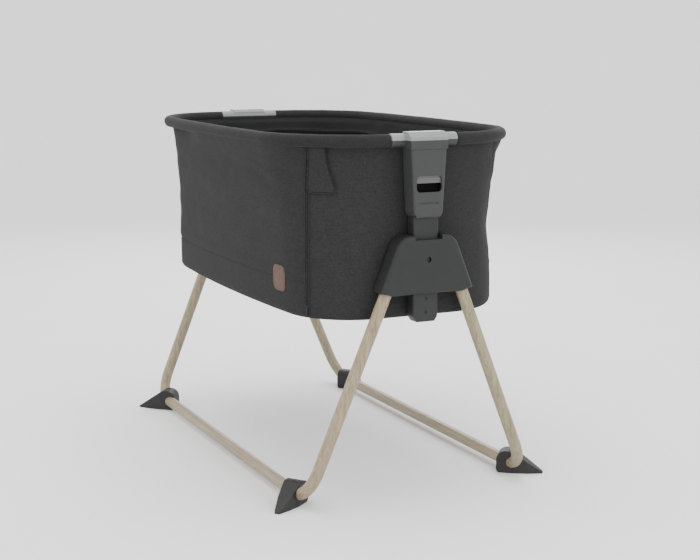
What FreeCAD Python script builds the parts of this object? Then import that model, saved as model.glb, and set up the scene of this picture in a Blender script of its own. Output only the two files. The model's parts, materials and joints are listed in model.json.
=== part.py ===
import FreeCAD, Part
import os
import math
import Sketcher
from FreeCAD import Vector, Placement, Rotation

# Bassinet on a folding A-frame stand.  Millimetres, +Z up, Y along the length,
# X across the width, origin on the floor below the middle of the basket.
# The front end is at -Y and the rear end at +Y.

doc = FreeCAD.newDocument("bassinet_on_stand")

SIZES = [
    # rim tube and basket outline
    ("rim_half_len", 455.0), ("rim_half_wid", 265.0), ("rim_corner_rad", 190.0), ("rim_side_rad", 4173.0),
    ("rim_height", 705.0), ("rim_tube_rad", 9.5), ("rim_tube_wall", 1.5),
    ("rim_cover_rad", 12.0), ("rim_cover_gap", 0.3), ("rim_cover_start", 70.8),
    ("top_half_len", 443.6), ("top_half_wid", 258.5), ("top_corner_rad", 184.0), ("top_height", 691.0),
    ("waist_half_len", 437.0), ("waist_half_wid", 243.0), ("waist_corner_rad", 160.0), ("waist_height", 560.0),
    ("band_half_len", 440.0), ("band_half_wid", 236.0), ("band_corner_rad", 145.0), ("band_height", 430.0),
    ("base_half_len", 441.5), ("base_half_wid", 234.0), ("base_corner_rad", 141.0), ("base_height", 357.0),
    ("wall_side_rad", 4300.0), ("wall_thick", 5.0), ("seam_half_wid", 204.0),
    ("liner_gap", 0.4), ("liner_thick", 1.4),
    ("board_inset", 7.0), ("board_thick", 5.0), ("skin_thick", 3.0),
    ("mattress_inset", 13.0), ("mattress_thick", 45.0), ("soft_gap", 0.4),
    ("zip_width", 7.0), ("zip_gap", 0.35), ("zip_thick", 1.3),
    ("flap_width", 27.0), ("flap_drop", 90.0), ("flap_gap", 2.2), ("flap_thick", 1.6),
    ("tag_mid_y", -287.0), ("tag_mid_z", 429.0), ("tag_half", 26.0), ("tag_gap", 0.3), ("tag_thick", 1.8),
    # post
    ("post_half_wid", 27.0), ("post_back", 448.0), ("post_front", 474.0), ("post_bottom", 355.0), ("post_top", 687.0),
    ("post_wall", 3.0), ("post_edge", 3.5), ("post_toe", 8.0), ("lock_height", 572.0), ("lock_pitch", 17.6),
    ("lock_count", 7.0), ("lock_hole_rad", 4.3),
    # hub, the bell-shaped cover at the top of each pair of legs
    ("hub_back", 446.2), ("hub_split", 461.0), ("hub_front", 486.0), ("hub_wall", 3.0), ("hub_top", 525.0),
    ("hub_saddle", 516.0), ("hub_shoulder", 58.0), ("hub_shoulder_rad", 34.0), ("hub_flare", 100.5),
    ("hub_flare_low", 417.0), ("hub_mid_low", 410.0), ("hub_fit", 0.4), ("hub_screw_height", 478.0),
    # legs
    ("pivot_x", 52.0), ("pivot_z", 487.0), ("pivot_y", 468.0), ("foot_x", 243.0), ("foot_y", 454.0), ("foot_z", 21.0), ("foot_half_wid", 18.0), ("foot_heel", 23.0), ("foot_toe", 78.0),
    ("foot_tall", 47.0), ("foot_turn", 38.5), ("foot_top_y", 394.0),
    ("leg_rad", 12.0), ("leg_wall", 1.5), ("leg_bend", 62.0), ("leg_over", 15.0), ("pin_rad", 4.0), ("pin_fit", 0.05),
    ("plug_len", 26.0),
    # sleeve
    ("sleeve_back", 445.2), ("sleeve_split", 462.0), ("sleeve_front", 484.6), ("sleeve_wall", 2.4),
    ("sleeve_top", 688.0), ("sleeve_low", 567.0), ("sleeve_bottom", 558.0), ("sleeve_top_half", 38.0),
    ("sleeve_low_half", 31.0), ("sleeve_toe_half", 25.5), ("slide_fit", 0.45), ("pocket_top", 679.0),
    ("window_half", 27.0), ("window_low", 607.0), ("window_high", 638.0), ("window_rad", 8.0),
    ("groove_height", 586.0), ("groove_half", 25.0), ("panel_depth", 0.8), ("panel_margin", 6.0),
    # clamp round the rim
    ("clamp_half", 39.6), ("clamp_low", 688.4), ("clamp_top", 721.0), ("clamp_front", 485.4), ("clamp_back", 444.1),
    ("collar_half", 70.0), ("collar_rad", 12.8), ("clamp_fit", 0.15), ("cap_bevel", 10.5),
    # release lever, lock pin and spring
    ("lever_back", 474.5), ("lever_mid", 475.6), ("lever_front", 481.3), ("lever_top", 644.0), ("lever_low", 584.0),
    ("lever_top_half", 30.2), ("lever_low_half", 28.2), ("lever_open_half", 26.4), ("lever_bar_low", 624.0),
    ("lever_open_low", 592.0), ("lever_travel", 7.0), ("fork_in", 4.7), ("fork_out", 9.0), ("fork_low", 563.0),
    ("cam_face", 476.3), ("cam_low_face", 480.15), ("pin_tip", 471.4), ("pin_head_back", 477.1), ("pin_head_front", 478.5),
    ("pin_head_half", 9.0), ("pin_head_tall", 1.0), ("spring_rad", 2.5), ("spring_wire", 0.35), ("spring_turns", 7.0),
]

sheet = doc.addObject("Spreadsheet::Sheet", "Sizes")
for row, (alias, number) in enumerate(SIZES, start=1):
    sheet.set("A%d" % row, alias)
    sheet.set("B%d" % row, str(number))
    sheet.setAlias("B%d" % row, alias)
doc.recompute()


class Q:
    """A length together with the sheet expression that drives it."""

    def __init__(self, value, text):
        self.v = float(value)
        self.e = text

    def wrap(self, other):
        return other if isinstance(other, Q) else Q(other, "(%r)" % float(other))

    def __add__(self, other):
        other = self.wrap(other)
        return Q(self.v + other.v, "(%s + %s)" % (self.e, other.e))

    __radd__ = __add__

    def __sub__(self, other):
        other = self.wrap(other)
        return Q(self.v - other.v, "(%s - %s)" % (self.e, other.e))

    def __rsub__(self, other):
        return self.wrap(other) - self

    def __mul__(self, other):
        other = self.wrap(other)
        return Q(self.v * other.v, "(%s * %s)" % (self.e, other.e))

    __rmul__ = __mul__

    def __truediv__(self, other):
        other = self.wrap(other)
        return Q(self.v / other.v, "(%s / %s)" % (self.e, other.e))

    def __neg__(self):
        return self * -1.0


def root(q):
    return Q(math.sqrt(q.v), "sqrt(%s)" % q.e)


def num(value):
    return Q(value, "(%r)" % float(value))


class Sheet:
    """Reads a cell by its alias, as a number with its expression."""

    def __getattr__(self, name):
        return Q(float(sheet.get(name)), "Sizes." + name)


D = Sheet()
ZERO = num(0.0)


# ---------------------------------------------------------------- sketch helpers

def new_body(label, turn=False):
    body = doc.addObject("PartDesign::Body", label)
    body.Label = label
    if turn:
        body.Placement = Placement(Vector(0, 0, 0), Rotation(Vector(0, 0, 1), 180))
    return body


def new_sketch(body, name, plane, shift=ZERO):
    sk = body.newObject("Sketcher::SketchObject", name)
    face = [f for f in body.Origin.OriginFeatures if f.Role == plane][0]
    sk.AttachmentSupport = [(face, "")]
    sk.MapMode = "FlatFace"
    sk.AttachmentOffset = Placement(Vector(0, 0, shift.v), Rotation())
    sk.setExpression("AttachmentOffset.Base.z", shift.e)
    return sk


def dim(sk, kind, args, q):
    k = sk.addConstraint(Sketcher.Constraint(kind, *(list(args) + [q.v])))
    sk.setExpression("Constraints[%d]" % k, q.e)


def fix_point(sk, geo, pos, x, y):
    if abs(x.v) < 1e-9:
        sk.addConstraint(Sketcher.Constraint("PointOnObject", geo, pos, -2))
    else:
        dim(sk, "DistanceX", (-1, 1, geo, pos), x)
    if abs(y.v) < 1e-9:
        sk.addConstraint(Sketcher.Constraint("PointOnObject", geo, pos, -1))
    else:
        dim(sk, "DistanceY", (-1, 1, geo, pos), y)


def loop(sk, points, radii=None, closed=True):
    """A fully constrained polygon or open path; a radius rounds that corner."""
    count = len(points)
    radii = radii or [None] * count
    at = [Vector(p[0].v, p[1].v, 0) for p in points]
    ins, outs, arcs = list(at), list(at), [None] * count
    for i in range(count):
        if radii[i] is None or (not closed and i in (0, count - 1)):
            continue
        a = (at[i - 1] - at[i]).normalize()
        b = (at[(i + 1) % count] - at[i]).normalize()
        half = a.getAngle(b) / 2
        r = radii[i].v
        ins[i] = at[i] + a * (r / math.tan(half))
        outs[i] = at[i] + b * (r / math.tan(half))
        mid = at[i] + (a + b).normalize() * (r / math.sin(half))
        left = (-a).cross(b).z > 0
        s, e = (ins[i], outs[i]) if left else (outs[i], ins[i])
        s, e = s - mid, e - mid
        a0, a1 = math.atan2(s.y, s.x), math.atan2(e.y, e.x)
        if a1 < a0:
            a1 += 2 * math.pi
        arcs[i] = (mid, r, a0, a1, left)
    lines = []
    last = count if closed else count - 1
    for i in range(last):
        lines.append(sk.addGeometry(Part.LineSegment(outs[i], ins[(i + 1) % count]), False))
    for i in range(count):
        x, y = points[i]
        if not closed and i == 0:
            fix_point(sk, lines[0], 1, x, y)
            continue
        if not closed and i == count - 1:
            fix_point(sk, lines[-1], 2, x, y)
            continue
        prev, nxt = lines[i - 1], lines[i]
        if arcs[i] is None:
            sk.addConstraint(Sketcher.Constraint("Coincident", prev, 2, nxt, 1))
            fix_point(sk, nxt, 1, x, y)
            continue
        mid, r, a0, a1, left = arcs[i]
        arc = sk.addGeometry(Part.ArcOfCircle(Part.Circle(mid, Vector(0, 0, 1), r), a0, a1), False)
        first, second = (1, 2) if left else (2, 1)
        sk.addConstraint(Sketcher.Constraint("Tangent", prev, 2, arc, first))
        sk.addConstraint(Sketcher.Constraint("Tangent", arc, second, nxt, 1))
        dim(sk, "Radius", (arc,), radii[i])
        pt = sk.addGeometry(Part.Point(at[i]), True)
        sk.addConstraint(Sketcher.Constraint("PointOnObject", pt, 1, prev))
        sk.addConstraint(Sketcher.Constraint("PointOnObject", pt, 1, nxt))
        fix_point(sk, pt, 1, x, y)


def circle(sk, x, y, r):
    g = sk.addGeometry(Part.Circle(Vector(x.v, y.v, 0), Vector(0, 0, 1), r.v), False)
    dim(sk, "Radius", (g,), r)
    fix_point(sk, g, 3, x, y)


def box_loop(sk, x0, x1, y0, y1, r=None):
    loop(sk, [(x0, y0), (x1, y0), (x1, y1), (x0, y1)], [r] * 4 if r else None)


def pad(body, sk, name, length, back=False):
    f = body.newObject("PartDesign::Pad", name)
    f.Profile = sk
    f.Length = length.v
    f.setExpression("Length", length.e)
    f.Reversed = back
    doc.recompute()
    return f


def pocket(body, sk, name, length, back=False):
    before = body.Shape.Volume
    f = body.newObject("PartDesign::Pocket", name)
    f.Profile = sk
    f.Length = length.v
    f.setExpression("Length", length.e)
    f.Reversed = back
    doc.recompute()
    if not body.Shape.Volume < before - 1e-3:
        raise RuntimeError("%s in %s cuts nothing" % (name, body.Label))
    return f


def round_edges(body, name, radius, pick, kind="Fillet"):
    """Fillet or chamfer the edges that pick accepts; kept only if it stays sound."""
    base = body.Tip
    names = ["Edge%d" % (i + 1) for i, e in enumerate(base.Shape.Edges) if pick(e)]
    if not names:
        raise RuntimeError("no edges for %s in %s" % (name, body.Label))
    f = body.newObject("PartDesign::" + kind, name)
    f.Base = (base, names)
    prop = "Radius" if kind == "Fillet" else "Size"
    setattr(f, prop, radius.v)
    f.setExpression(prop, radius.e)
    doc.recompute()
    if "Invalid" in f.State or "Error" in f.State or f.Shape.isNull() or not f.Shape.isValid():
        print("left sharp:", name, body.Label)
        body.Tip = base
        doc.removeObject(f.Name)
        doc.recompute()
        return None
    return f


def along(axis, tol=1e-6):
    def pick(e):
        if not isinstance(e.Curve, (Part.Line, Part.LineSegment)):
            return False
        d = (e.Vertexes[-1].Point - e.Vertexes[0].Point)
        return d.Length > 1e-6 and abs(abs(d.normalize().dot(axis)) - 1) < tol
    return pick


def at_plane(axis, value, tol=1e-3):
    def pick(e):
        return all(abs(v.Point.dot(axis) - value) < tol for v in e.Vertexes) and \
            abs(e.CenterOfMass.dot(axis) - value) < tol
    return pick


X, Y, Z = Vector(1, 0, 0), Vector(0, 1, 0), Vector(0, 0, 1)
FINAL = []


def keep(obj, label):
    obj.Label = label
    FINAL.append((label, obj))
    return obj


def prim(kind, name, sizes, base, axis=None):
    """A Part primitive with bound sizes and a bound position."""
    o = doc.addObject("Part::" + kind, name)
    for key, q in sizes.items():
        setattr(o, key, q.v)
        o.setExpression(key, q.e)
    o.Placement = Placement(Vector(*[b.v for b in base]), axis or Rotation())
    for letter, b in zip("xyz", base):
        o.setExpression("Placement.Base." + letter, b.e)
    return o


def boolean(kind, name, a, b):
    o = doc.addObject("Part::" + kind, name)
    o.Base = a
    o.Tool = b
    doc.recompute()
    return o


def fuse(name, parts):
    o = doc.addObject("Part::MultiFuse", name)
    o.Shapes = parts
    doc.recompute()
    return o


ALONG_Y = Rotation(Vector(1, 0, 0), 90)     # a cylinder's Z becomes -Y
ALONG_X = Rotation(Vector(0, 1, 0), 90)     # a cylinder's Z becomes +X


# ---------------------------------------------------------------- the two ends

def post(tag, turn):
    body = new_body(tag + "_post", turn)
    sk = new_sketch(body, tag + "_post_face", "XZ_Plane", D.post_back)
    w, toe = D.post_half_wid, D.post_toe
    loop(sk, [(-w + toe, D.post_bottom), (w - toe, D.post_bottom), (w, D.post_bottom + toe * 1.4), (w, D.post_top),
              (-w, D.post_top), (-w, D.post_bottom + toe * 1.4)])
    pad(body, sk, tag + "_post_pad", D.post_front - D.post_back)
    round_edges(body, tag + "_post_round", D.post_edge,
                lambda e: along(Z)(e) and abs(abs(e.CenterOfMass.x) - w.v) < 1e-3)
    sk = new_sketch(body, tag + "_post_bore", "XY_Plane", D.post_top)
    t = D.post_wall
    box_loop(sk, -w + t, w - t, -D.post_front + t, -D.post_back - t)
    pocket(body, sk, tag + "_post_hollow", D.post_top - D.post_bottom - 16.0)
    sk = new_sketch(body, tag + "_lock_sketch", "XZ_Plane", D.post_front - t * 1.5)
    circle(sk, ZERO, D.lock_height, D.lock_hole_rad)
    hole = pocket(body, sk, tag + "_lock_hole", t * 2.0, back=True)
    row = body.newObject("PartDesign::LinearPattern", tag + "_lock_row")
    row.Originals = [hole]
    row.Direction = (sk, ["V_Axis"])
    row.Length = (D.lock_pitch * (D.lock_count - 1.0)).v
    row.setExpression("Length", (D.lock_pitch * (D.lock_count - 1.0)).e)
    row.Occurrences = int(D.lock_count.v)
    row.setExpression("Occurrences", D.lock_count.e)
    body.Tip = row
    doc.recompute()
    # two screws close the bottom of the post
    sk = new_sketch(body, tag + "_post_screw_sketch", "XZ_Plane", D.post_front - 2.2)
    circle(sk, ZERO, num(401.0), num(3.6))
    circle(sk, ZERO, num(374.0), num(3.6))
    pocket(body, sk, tag + "_post_screw_seats", num(4.0), back=True)
    sk = new_sketch(body, tag + "_post_screw_holes_sketch", "XZ_Plane", D.post_front)
    circle(sk, ZERO, num(401.0), num(1.7))
    circle(sk, ZERO, num(374.0), num(1.7))
    pocket(body, sk, tag + "_post_screw_holes", num(9.0))
    keep(body, tag + "_post")


def hub_outline(sk, inset, low, open_low=False):
    """The bell outline: shoulders, straight flanks along the legs, lower edge."""
    # flank direction follows shoulder -> flare
    dx, dz = D.hub_flare - D.hub_shoulder, D.hub_top - D.hub_flare_low
    lean = dx / dz
    side = inset * 1.09
    drop = inset + 9.0 if open_low else inset
    top = D.hub_top - drop
    xt = D.hub_shoulder + lean * drop - side
    z_low = D.hub_flare_low if not open_low else low
    xl = D.hub_flare + lean * (D.hub_flare_low - z_low) - side
    r = D.hub_shoulder_rad - inset if not open_low else num(8.0)
    if open_low:
        loop(sk, [(-xl, z_low), (xl, z_low), (xt, top), (-xt, top)], [None, None, r, r])
    else:
        fl = 24.0
        loop(sk, [(-xl, z_low), (-xl + fl, z_low - 7.5), (num(-30.0), D.hub_mid_low), (num(30.0), D.hub_mid_low),
                  (xl - fl, z_low - 7.5), (xl, z_low), (xt, top), (-xt, top)],
             [num(3.0), num(6.0), None, None, num(6.0), num(3.0), r, r])


def hub(tag, turn):
    # outer cover
    body = new_body(tag + "_hub_cover", turn)
    sk = new_sketch(body, tag + "_hub_cover_face", "XZ_Plane", D.hub_split)
    hub_outline(sk, ZERO, D.hub_flare_low)
    pad(body, sk, tag + "_hub_cover_pad", D.hub_front - D.hub_split)
    round_edges(body, tag + "_hub_cover_round", num(8.0), at_plane(Y, -D.hub_front.v))
    sk = new_sketch(body, tag + "_hub_cover_inner", "XZ_Plane", D.hub_split)
    hub_outline(sk, D.hub_wall, D.hub_flare_low - 30.0, True)
    pocket(body, sk, tag + "_hub_cover_hollow", D.hub_front - D.hub_wall - D.hub_split, back=True)
    sk = new_sketch(body, tag + "_hub_cover_slot", "XZ_Plane", D.hub_split)
    w = D.post_half_wid + D.hub_fit
    box_loop(sk, -w, w, D.hub_top - 40.0, D.hub_top + 20.0)
    pocket(body, sk, tag + "_hub_cover_post_way", D.post_front + D.hub_fit - D.hub_split, back=True)
    sk = new_sketch(body, tag + "_hub_cover_dip", "XZ_Plane", D.hub_split)
    loop(sk, [(num(-31.0), D.hub_top + 6.0), (num(-29.0), D.hub_saddle), (num(29.0), D.hub_saddle),
              (num(31.0), D.hub_top + 6.0)], [None, num(2.5), num(2.5), None])
    pocket(body, sk, tag + "_hub_cover_saddle", D.hub_front - D.hub_split + 10.0, back=True)
    # pads that hold the outer ends of the two pivot pins, and the screw boss
    sk = new_sketch(body, tag + "_hub_cover_boss_sketch", "XZ_Plane", D.hub_front - D.hub_wall - 2.2)
    for sx in (-1.0, 1.0):
        circle(sk, D.pivot_x * sx, D.pivot_z, num(9.0))
        circle(sk, D.pivot_x * sx, D.pivot_z, D.pin_rad + 0.02)
    pad(body, sk, tag + "_hub_cover_bosses", num(2.7))
    sk = new_sketch(body, tag + "_hub_cover_boss_screw", "XZ_Plane", D.post_front + D.hub_fit)
    circle(sk, ZERO, D.hub_screw_height, num(7.5))
    pad(body, sk, tag + "_hub_cover_screw_boss", D.hub_front - D.hub_wall - D.post_front - D.hub_fit + 0.5)
    sk = new_sketch(body, tag + "_hub_cover_seat_sketch", "XZ_Plane", D.hub_front - 7.4)
    circle(sk, ZERO, D.hub_screw_height, num(5.4))
    pocket(body, sk, tag + "_hub_cover_seat", num(10.0), back=True)
    sk = new_sketch(body, tag + "_hub_cover_hole_sketch", "XZ_Plane", D.hub_front)
    circle(sk, ZERO, D.hub_screw_height, num(2.6))
    pocket(body, sk, tag + "_hub_cover_hole", num(14.0))
    keep(body, tag + "_hub_cover")

    # inner cover
    body = new_body(tag + "_hub_back", turn)
    sk = new_sketch(body, tag + "_hub_back_face", "XZ_Plane", D.hub_back)
    hub_outline(sk, ZERO, D.hub_flare_low)
    pad(body, sk, tag + "_hub_back_pad", D.hub_split - D.hub_back - 0.1)
    round_edges(body, tag + "_hub_back_round", num(2.0), at_plane(Y, -D.hub_back.v))
    sk = new_sketch(body, tag + "_hub_back_inner", "XZ_Plane", D.hub_back + 1.4)
    hub_outline(sk, D.hub_wall, D.hub_flare_low - 30.0, True)
    pocket(body, sk, tag + "_hub_back_hollow", D.hub_split - D.hub_back, back=True)
    sk = new_sketch(body, tag + "_hub_back_slot", "XZ_Plane", D.post_back - D.hub_fit)
    box_loop(sk, -w, w, D.hub_top - 40.0, D.hub_top + 20.0)
    pocket(body, sk, tag + "_hub_back_post_way", num(40.0), back=True)
    sk = new_sketch(body, tag + "_hub_back_dip", "XZ_Plane", D.hub_back - 1.0)
    loop(sk, [(num(-31.0), D.hub_top + 6.0), (num(-29.0), D.hub_saddle), (num(29.0), D.hub_saddle),
              (num(31.0), D.hub_top + 6.0)], [None, num(2.5), num(2.5), None])
    pocket(body, sk, tag + "_hub_back_saddle", num(30.0), back=True)
    sk = new_sketch(body, tag + "_hub_back_boss_sketch", "XZ_Plane", D.hub_back + 1.0)
    for sx in (-1.0, 1.0):
        circle(sk, D.pivot_x * sx, D.pivot_z, num(9.0))
        circle(sk, D.pivot_x * sx, D.pivot_z, D.pin_rad + 0.02)
    pad(body, sk, tag + "_hub_back_bosses", D.pivot_y - D.leg_rad - D.hub_back - 1.6)
    keep(body, tag + "_hub_back")

    # pivot pins, one across each leg, and the screws
    turned = -1.0 if turn else 1.0
    pins = []
    for sx in (-1.0, 1.0):
        name = tag + ("_pin_a" if sx < 0 else "_pin_b")
        start = D.hub_back + 1.6
        length = D.hub_front - D.hub_wall - 0.1 - start
        base_y = -start if not turn else start + length
        pins.append(prim("Cylinder", name, {"Radius": D.pin_rad, "Height": length},
                         (D.pivot_x * sx, base_y, D.pivot_z), ALONG_Y))
    keep(fuse(tag + "_leg_pins", pins), tag + "_leg_pins")

    def screw(name, z, front, head_r, head_t, shank_r, shank_l):
        a = prim("Cylinder", name + "_head", {"Radius": head_r, "Height": head_t},
                 (ZERO, -(front - head_t) if not turn else front, z), ALONG_Y)
        b = prim("Cylinder", name + "_shank", {"Radius": shank_r, "Height": shank_l},
                 (ZERO, -(front - head_t - shank_l + 0.2) if not turn else front - head_t + 0.2, z), ALONG_Y)
        body_ = fuse(name + "_solid", [a, b])
        c = prim("Box", name + "_slot_a", {"Length": num(1.2), "Width": num(1.6), "Height": num(4.6)},
                 (num(-0.6), -front - 0.4 if not turn else front - 1.2, z - 2.3))
        d = prim("Box", name + "_slot_b", {"Length": num(4.6), "Width": num(1.6), "Height": num(1.2)},
                 (num(-2.3), -front - 0.4 if not turn else front - 1.2, z - 0.6))
        return boolean("Cut", name, body_, fuse(name + "_slots", [c, d]))

    keep(screw(tag + "_hub_screw", D.hub_screw_height, D.hub_front - 4.3, num(5.0), num(3.0), num(2.2), num(4.3)),
         tag + "_hub_screw")
    s1 = screw(tag + "_post_screw_a", num(401.0), D.post_front - 1.0, num(3.4), num(1.1), num(1.4), num(5.0))
    s2 = screw(tag + "_post_screw_b", num(374.0), D.post_front - 1.0, num(3.4), num(1.1), num(1.4), num(5.0))
    keep(fuse(tag + "_post_screws", [s1, s2]), tag + "_post_screws")


def sleeve_outline(sk, inset, low=None, high=None):
    """Tapered outline of the sleeve; inset moves its flanks inward."""
    z1 = D.sleeve_top if high is None else high
    rate = (D.sleeve_top_half - D.sleeve_low_half) / (D.sleeve_top - D.sleeve_low)
    x1 = D.sleeve_low_half + rate * (z1 - D.sleeve_low) - inset
    if low is None:
        loop(sk, [(-D.sleeve_toe_half, D.sleeve_bottom), (D.sleeve_toe_half, D.sleeve_bottom),
                  (D.sleeve_low_half, D.sleeve_low), (x1, z1), (-x1, z1), (-D.sleeve_low_half, D.sleeve_low)])
    else:
        x0 = D.sleeve_low_half + rate * (low - D.sleeve_low) - inset
        loop(sk, [(-x0, low), (x0, low), (x1, z1), (-x1, z1)])


def sleeve(tag, turn):
    body = new_body(tag + "_sleeve_cover", turn)
    sk = new_sketch(body, tag + "_sleeve_face", "XZ_Plane", D.sleeve_split)
    sleeve_outline(sk, ZERO)
    pad(body, sk, tag + "_sleeve_pad", D.sleeve_front - D.sleeve_split)
    round_edges(body, tag + "_sleeve_round", num(4.5),
                lambda e: at_plane(Y, -D.sleeve_front.v)(e) and e.CenterOfMass.z < D.sleeve_top.v - 1)
    # way for the post, open at the bottom
    w = D.post_half_wid + D.slide_fit
    sk = new_sketch(body, tag + "_sleeve_way_sketch", "XZ_Plane", D.sleeve_split)
    box_loop(sk, -w, w, D.sleeve_bottom - 5.0, D.sleeve_top + 5.0)
    pocket(body, sk, tag + "_sleeve_way", D.post_front + D.slide_fit - D.sleeve_split, back=True)
    # chamber for the lever
    sk = new_sketch(body, tag + "_sleeve_room_sketch", "XZ_Plane", D.post_front)
    sleeve_outline(sk, D.sleeve_wall, D.sleeve_bottom + 3.2, D.pocket_top)
    pocket(body, sk, tag + "_sleeve_room", D.sleeve_front - D.sleeve_wall - D.post_front, back=True)
    # finger window
    sk = new_sketch(body, tag + "_window_sketch", "XZ_Plane", D.sleeve_front)
    box_loop(sk, -D.window_half, D.window_half, D.window_low, D.window_high, D.window_rad)
    pocket(body, sk, tag + "_window", num(6.0))
    # grip groove
    sk = new_sketch(body, tag + "_groove_sketch", "XZ_Plane", D.sleeve_front)
    box_loop(sk, -D.groove_half + 5.0, D.groove_half - 5.0, D.groove_height - 1.5, D.groove_height + 1.5)
    pocket(body, sk, tag + "_groove", num(1.2))
    keep(body, tag + "_sleeve_cover")

    body = new_body(tag + "_sleeve_back", turn)
    sk = new_sketch(body, tag + "_sleeve_back_face", "XZ_Plane", D.sleeve_back)
    sleeve_outline(sk, ZERO)
    pad(body, sk, tag + "_sleeve_back_pad", D.sleeve_split - D.sleeve_back - 0.1)
    sk = new_sketch(body, tag + "_sleeve_back_way_sketch", "XZ_Plane", D.post_back - D.slide_fit)
    box_loop(sk, -w, w, D.sleeve_bottom - 5.0, D.sleeve_top + 5.0)
    pocket(body, sk, tag + "_sleeve_back_way", num(30.0), back=True)
    round_edges(body, tag + "_sleeve_back_round", num(1.2),
                lambda e: at_plane(Y, -D.sleeve_back.v)(e) and e.CenterOfMass.z < D.sleeve_top.v - 1)
    keep(body, tag + "_sleeve_back")


def clamp(tag, turn):
    """Saddle below the rim tube and bevelled cap above it, each with two collars."""
    for part_name, low, high, upper in (("_rim_clamp", D.clamp_low, D.rim_height, False),
                                        ("_clamp_cap", D.rim_height + 0.1, D.clamp_top, True)):
        body = new_body(tag + part_name + "_block")
        sk = new_sketch(body, tag + part_name + "_profile", "YZ_Plane", -D.clamp_half)
        s = 1.0 if turn else -1.0
        fr, bk, bev = D.clamp_front * s, D.clamp_back * s, D.cap_bevel
        if upper:
            pts = [(fr, low), (bk, low), (bk, high - bev * 0.6), (bk + bev * s * 0.6, high), (fr - bev * s * 1.3, high),
                   (fr, high - bev)]
            rr = [None, None, num(2.0), num(2.0), num(3.0), num(3.0)]
        else:
            pts = [(fr, low), (bk, low), (bk, high), (fr, high)]
            rr = None
        loop(sk, pts, rr)
        pad(body, sk, tag + part_name + "_pad", D.clamp_half * 2.0)
        if upper:
            round_edges(body, tag + part_name + "_ends", num(2.5),
                        lambda e: at_plane(X, -D.clamp_half.v)(e) and e.CenterOfMass.z > D.rim_height.v + 3, "Chamfer")
            round_edges(body, tag + part_name + "_ends2", num(2.5),
                        lambda e: at_plane(X, D.clamp_half.v)(e) and e.CenterOfMass.z > D.rim_height.v + 3, "Chamfer")
        y = D.rim_half_len * s
        bar = prim("Cylinder", tag + part_name + "_collar", {"Radius": D.collar_rad, "Height": D.collar_half * 2.0},
                   (-D.collar_half, y, D.rim_height), ALONG_X)
        half = prim("Box", tag + part_name + "_half",
                    {"Length": D.collar_half * 2.2, "Width": num(60.0), "Height": num(40.0)},
                    (-D.collar_half * 1.1, y - 30.0, low if upper else D.rim_height - 40.0))
        collar = boolean("Common", tag + part_name + "_collars", bar, half)
        solid = fuse(tag + part_name + "_solid", [body, collar])
        bore = prim("Cylinder", tag + part_name + "_bore",
                    {"Radius": D.rim_tube_rad + D.clamp_fit, "Height": D.collar_half * 2.4},
                    (-D.collar_half * 1.2, y, D.rim_height), ALONG_X)
        keep(boolean("Cut", tag + part_name, solid, bore), tag + part_name)


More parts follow.
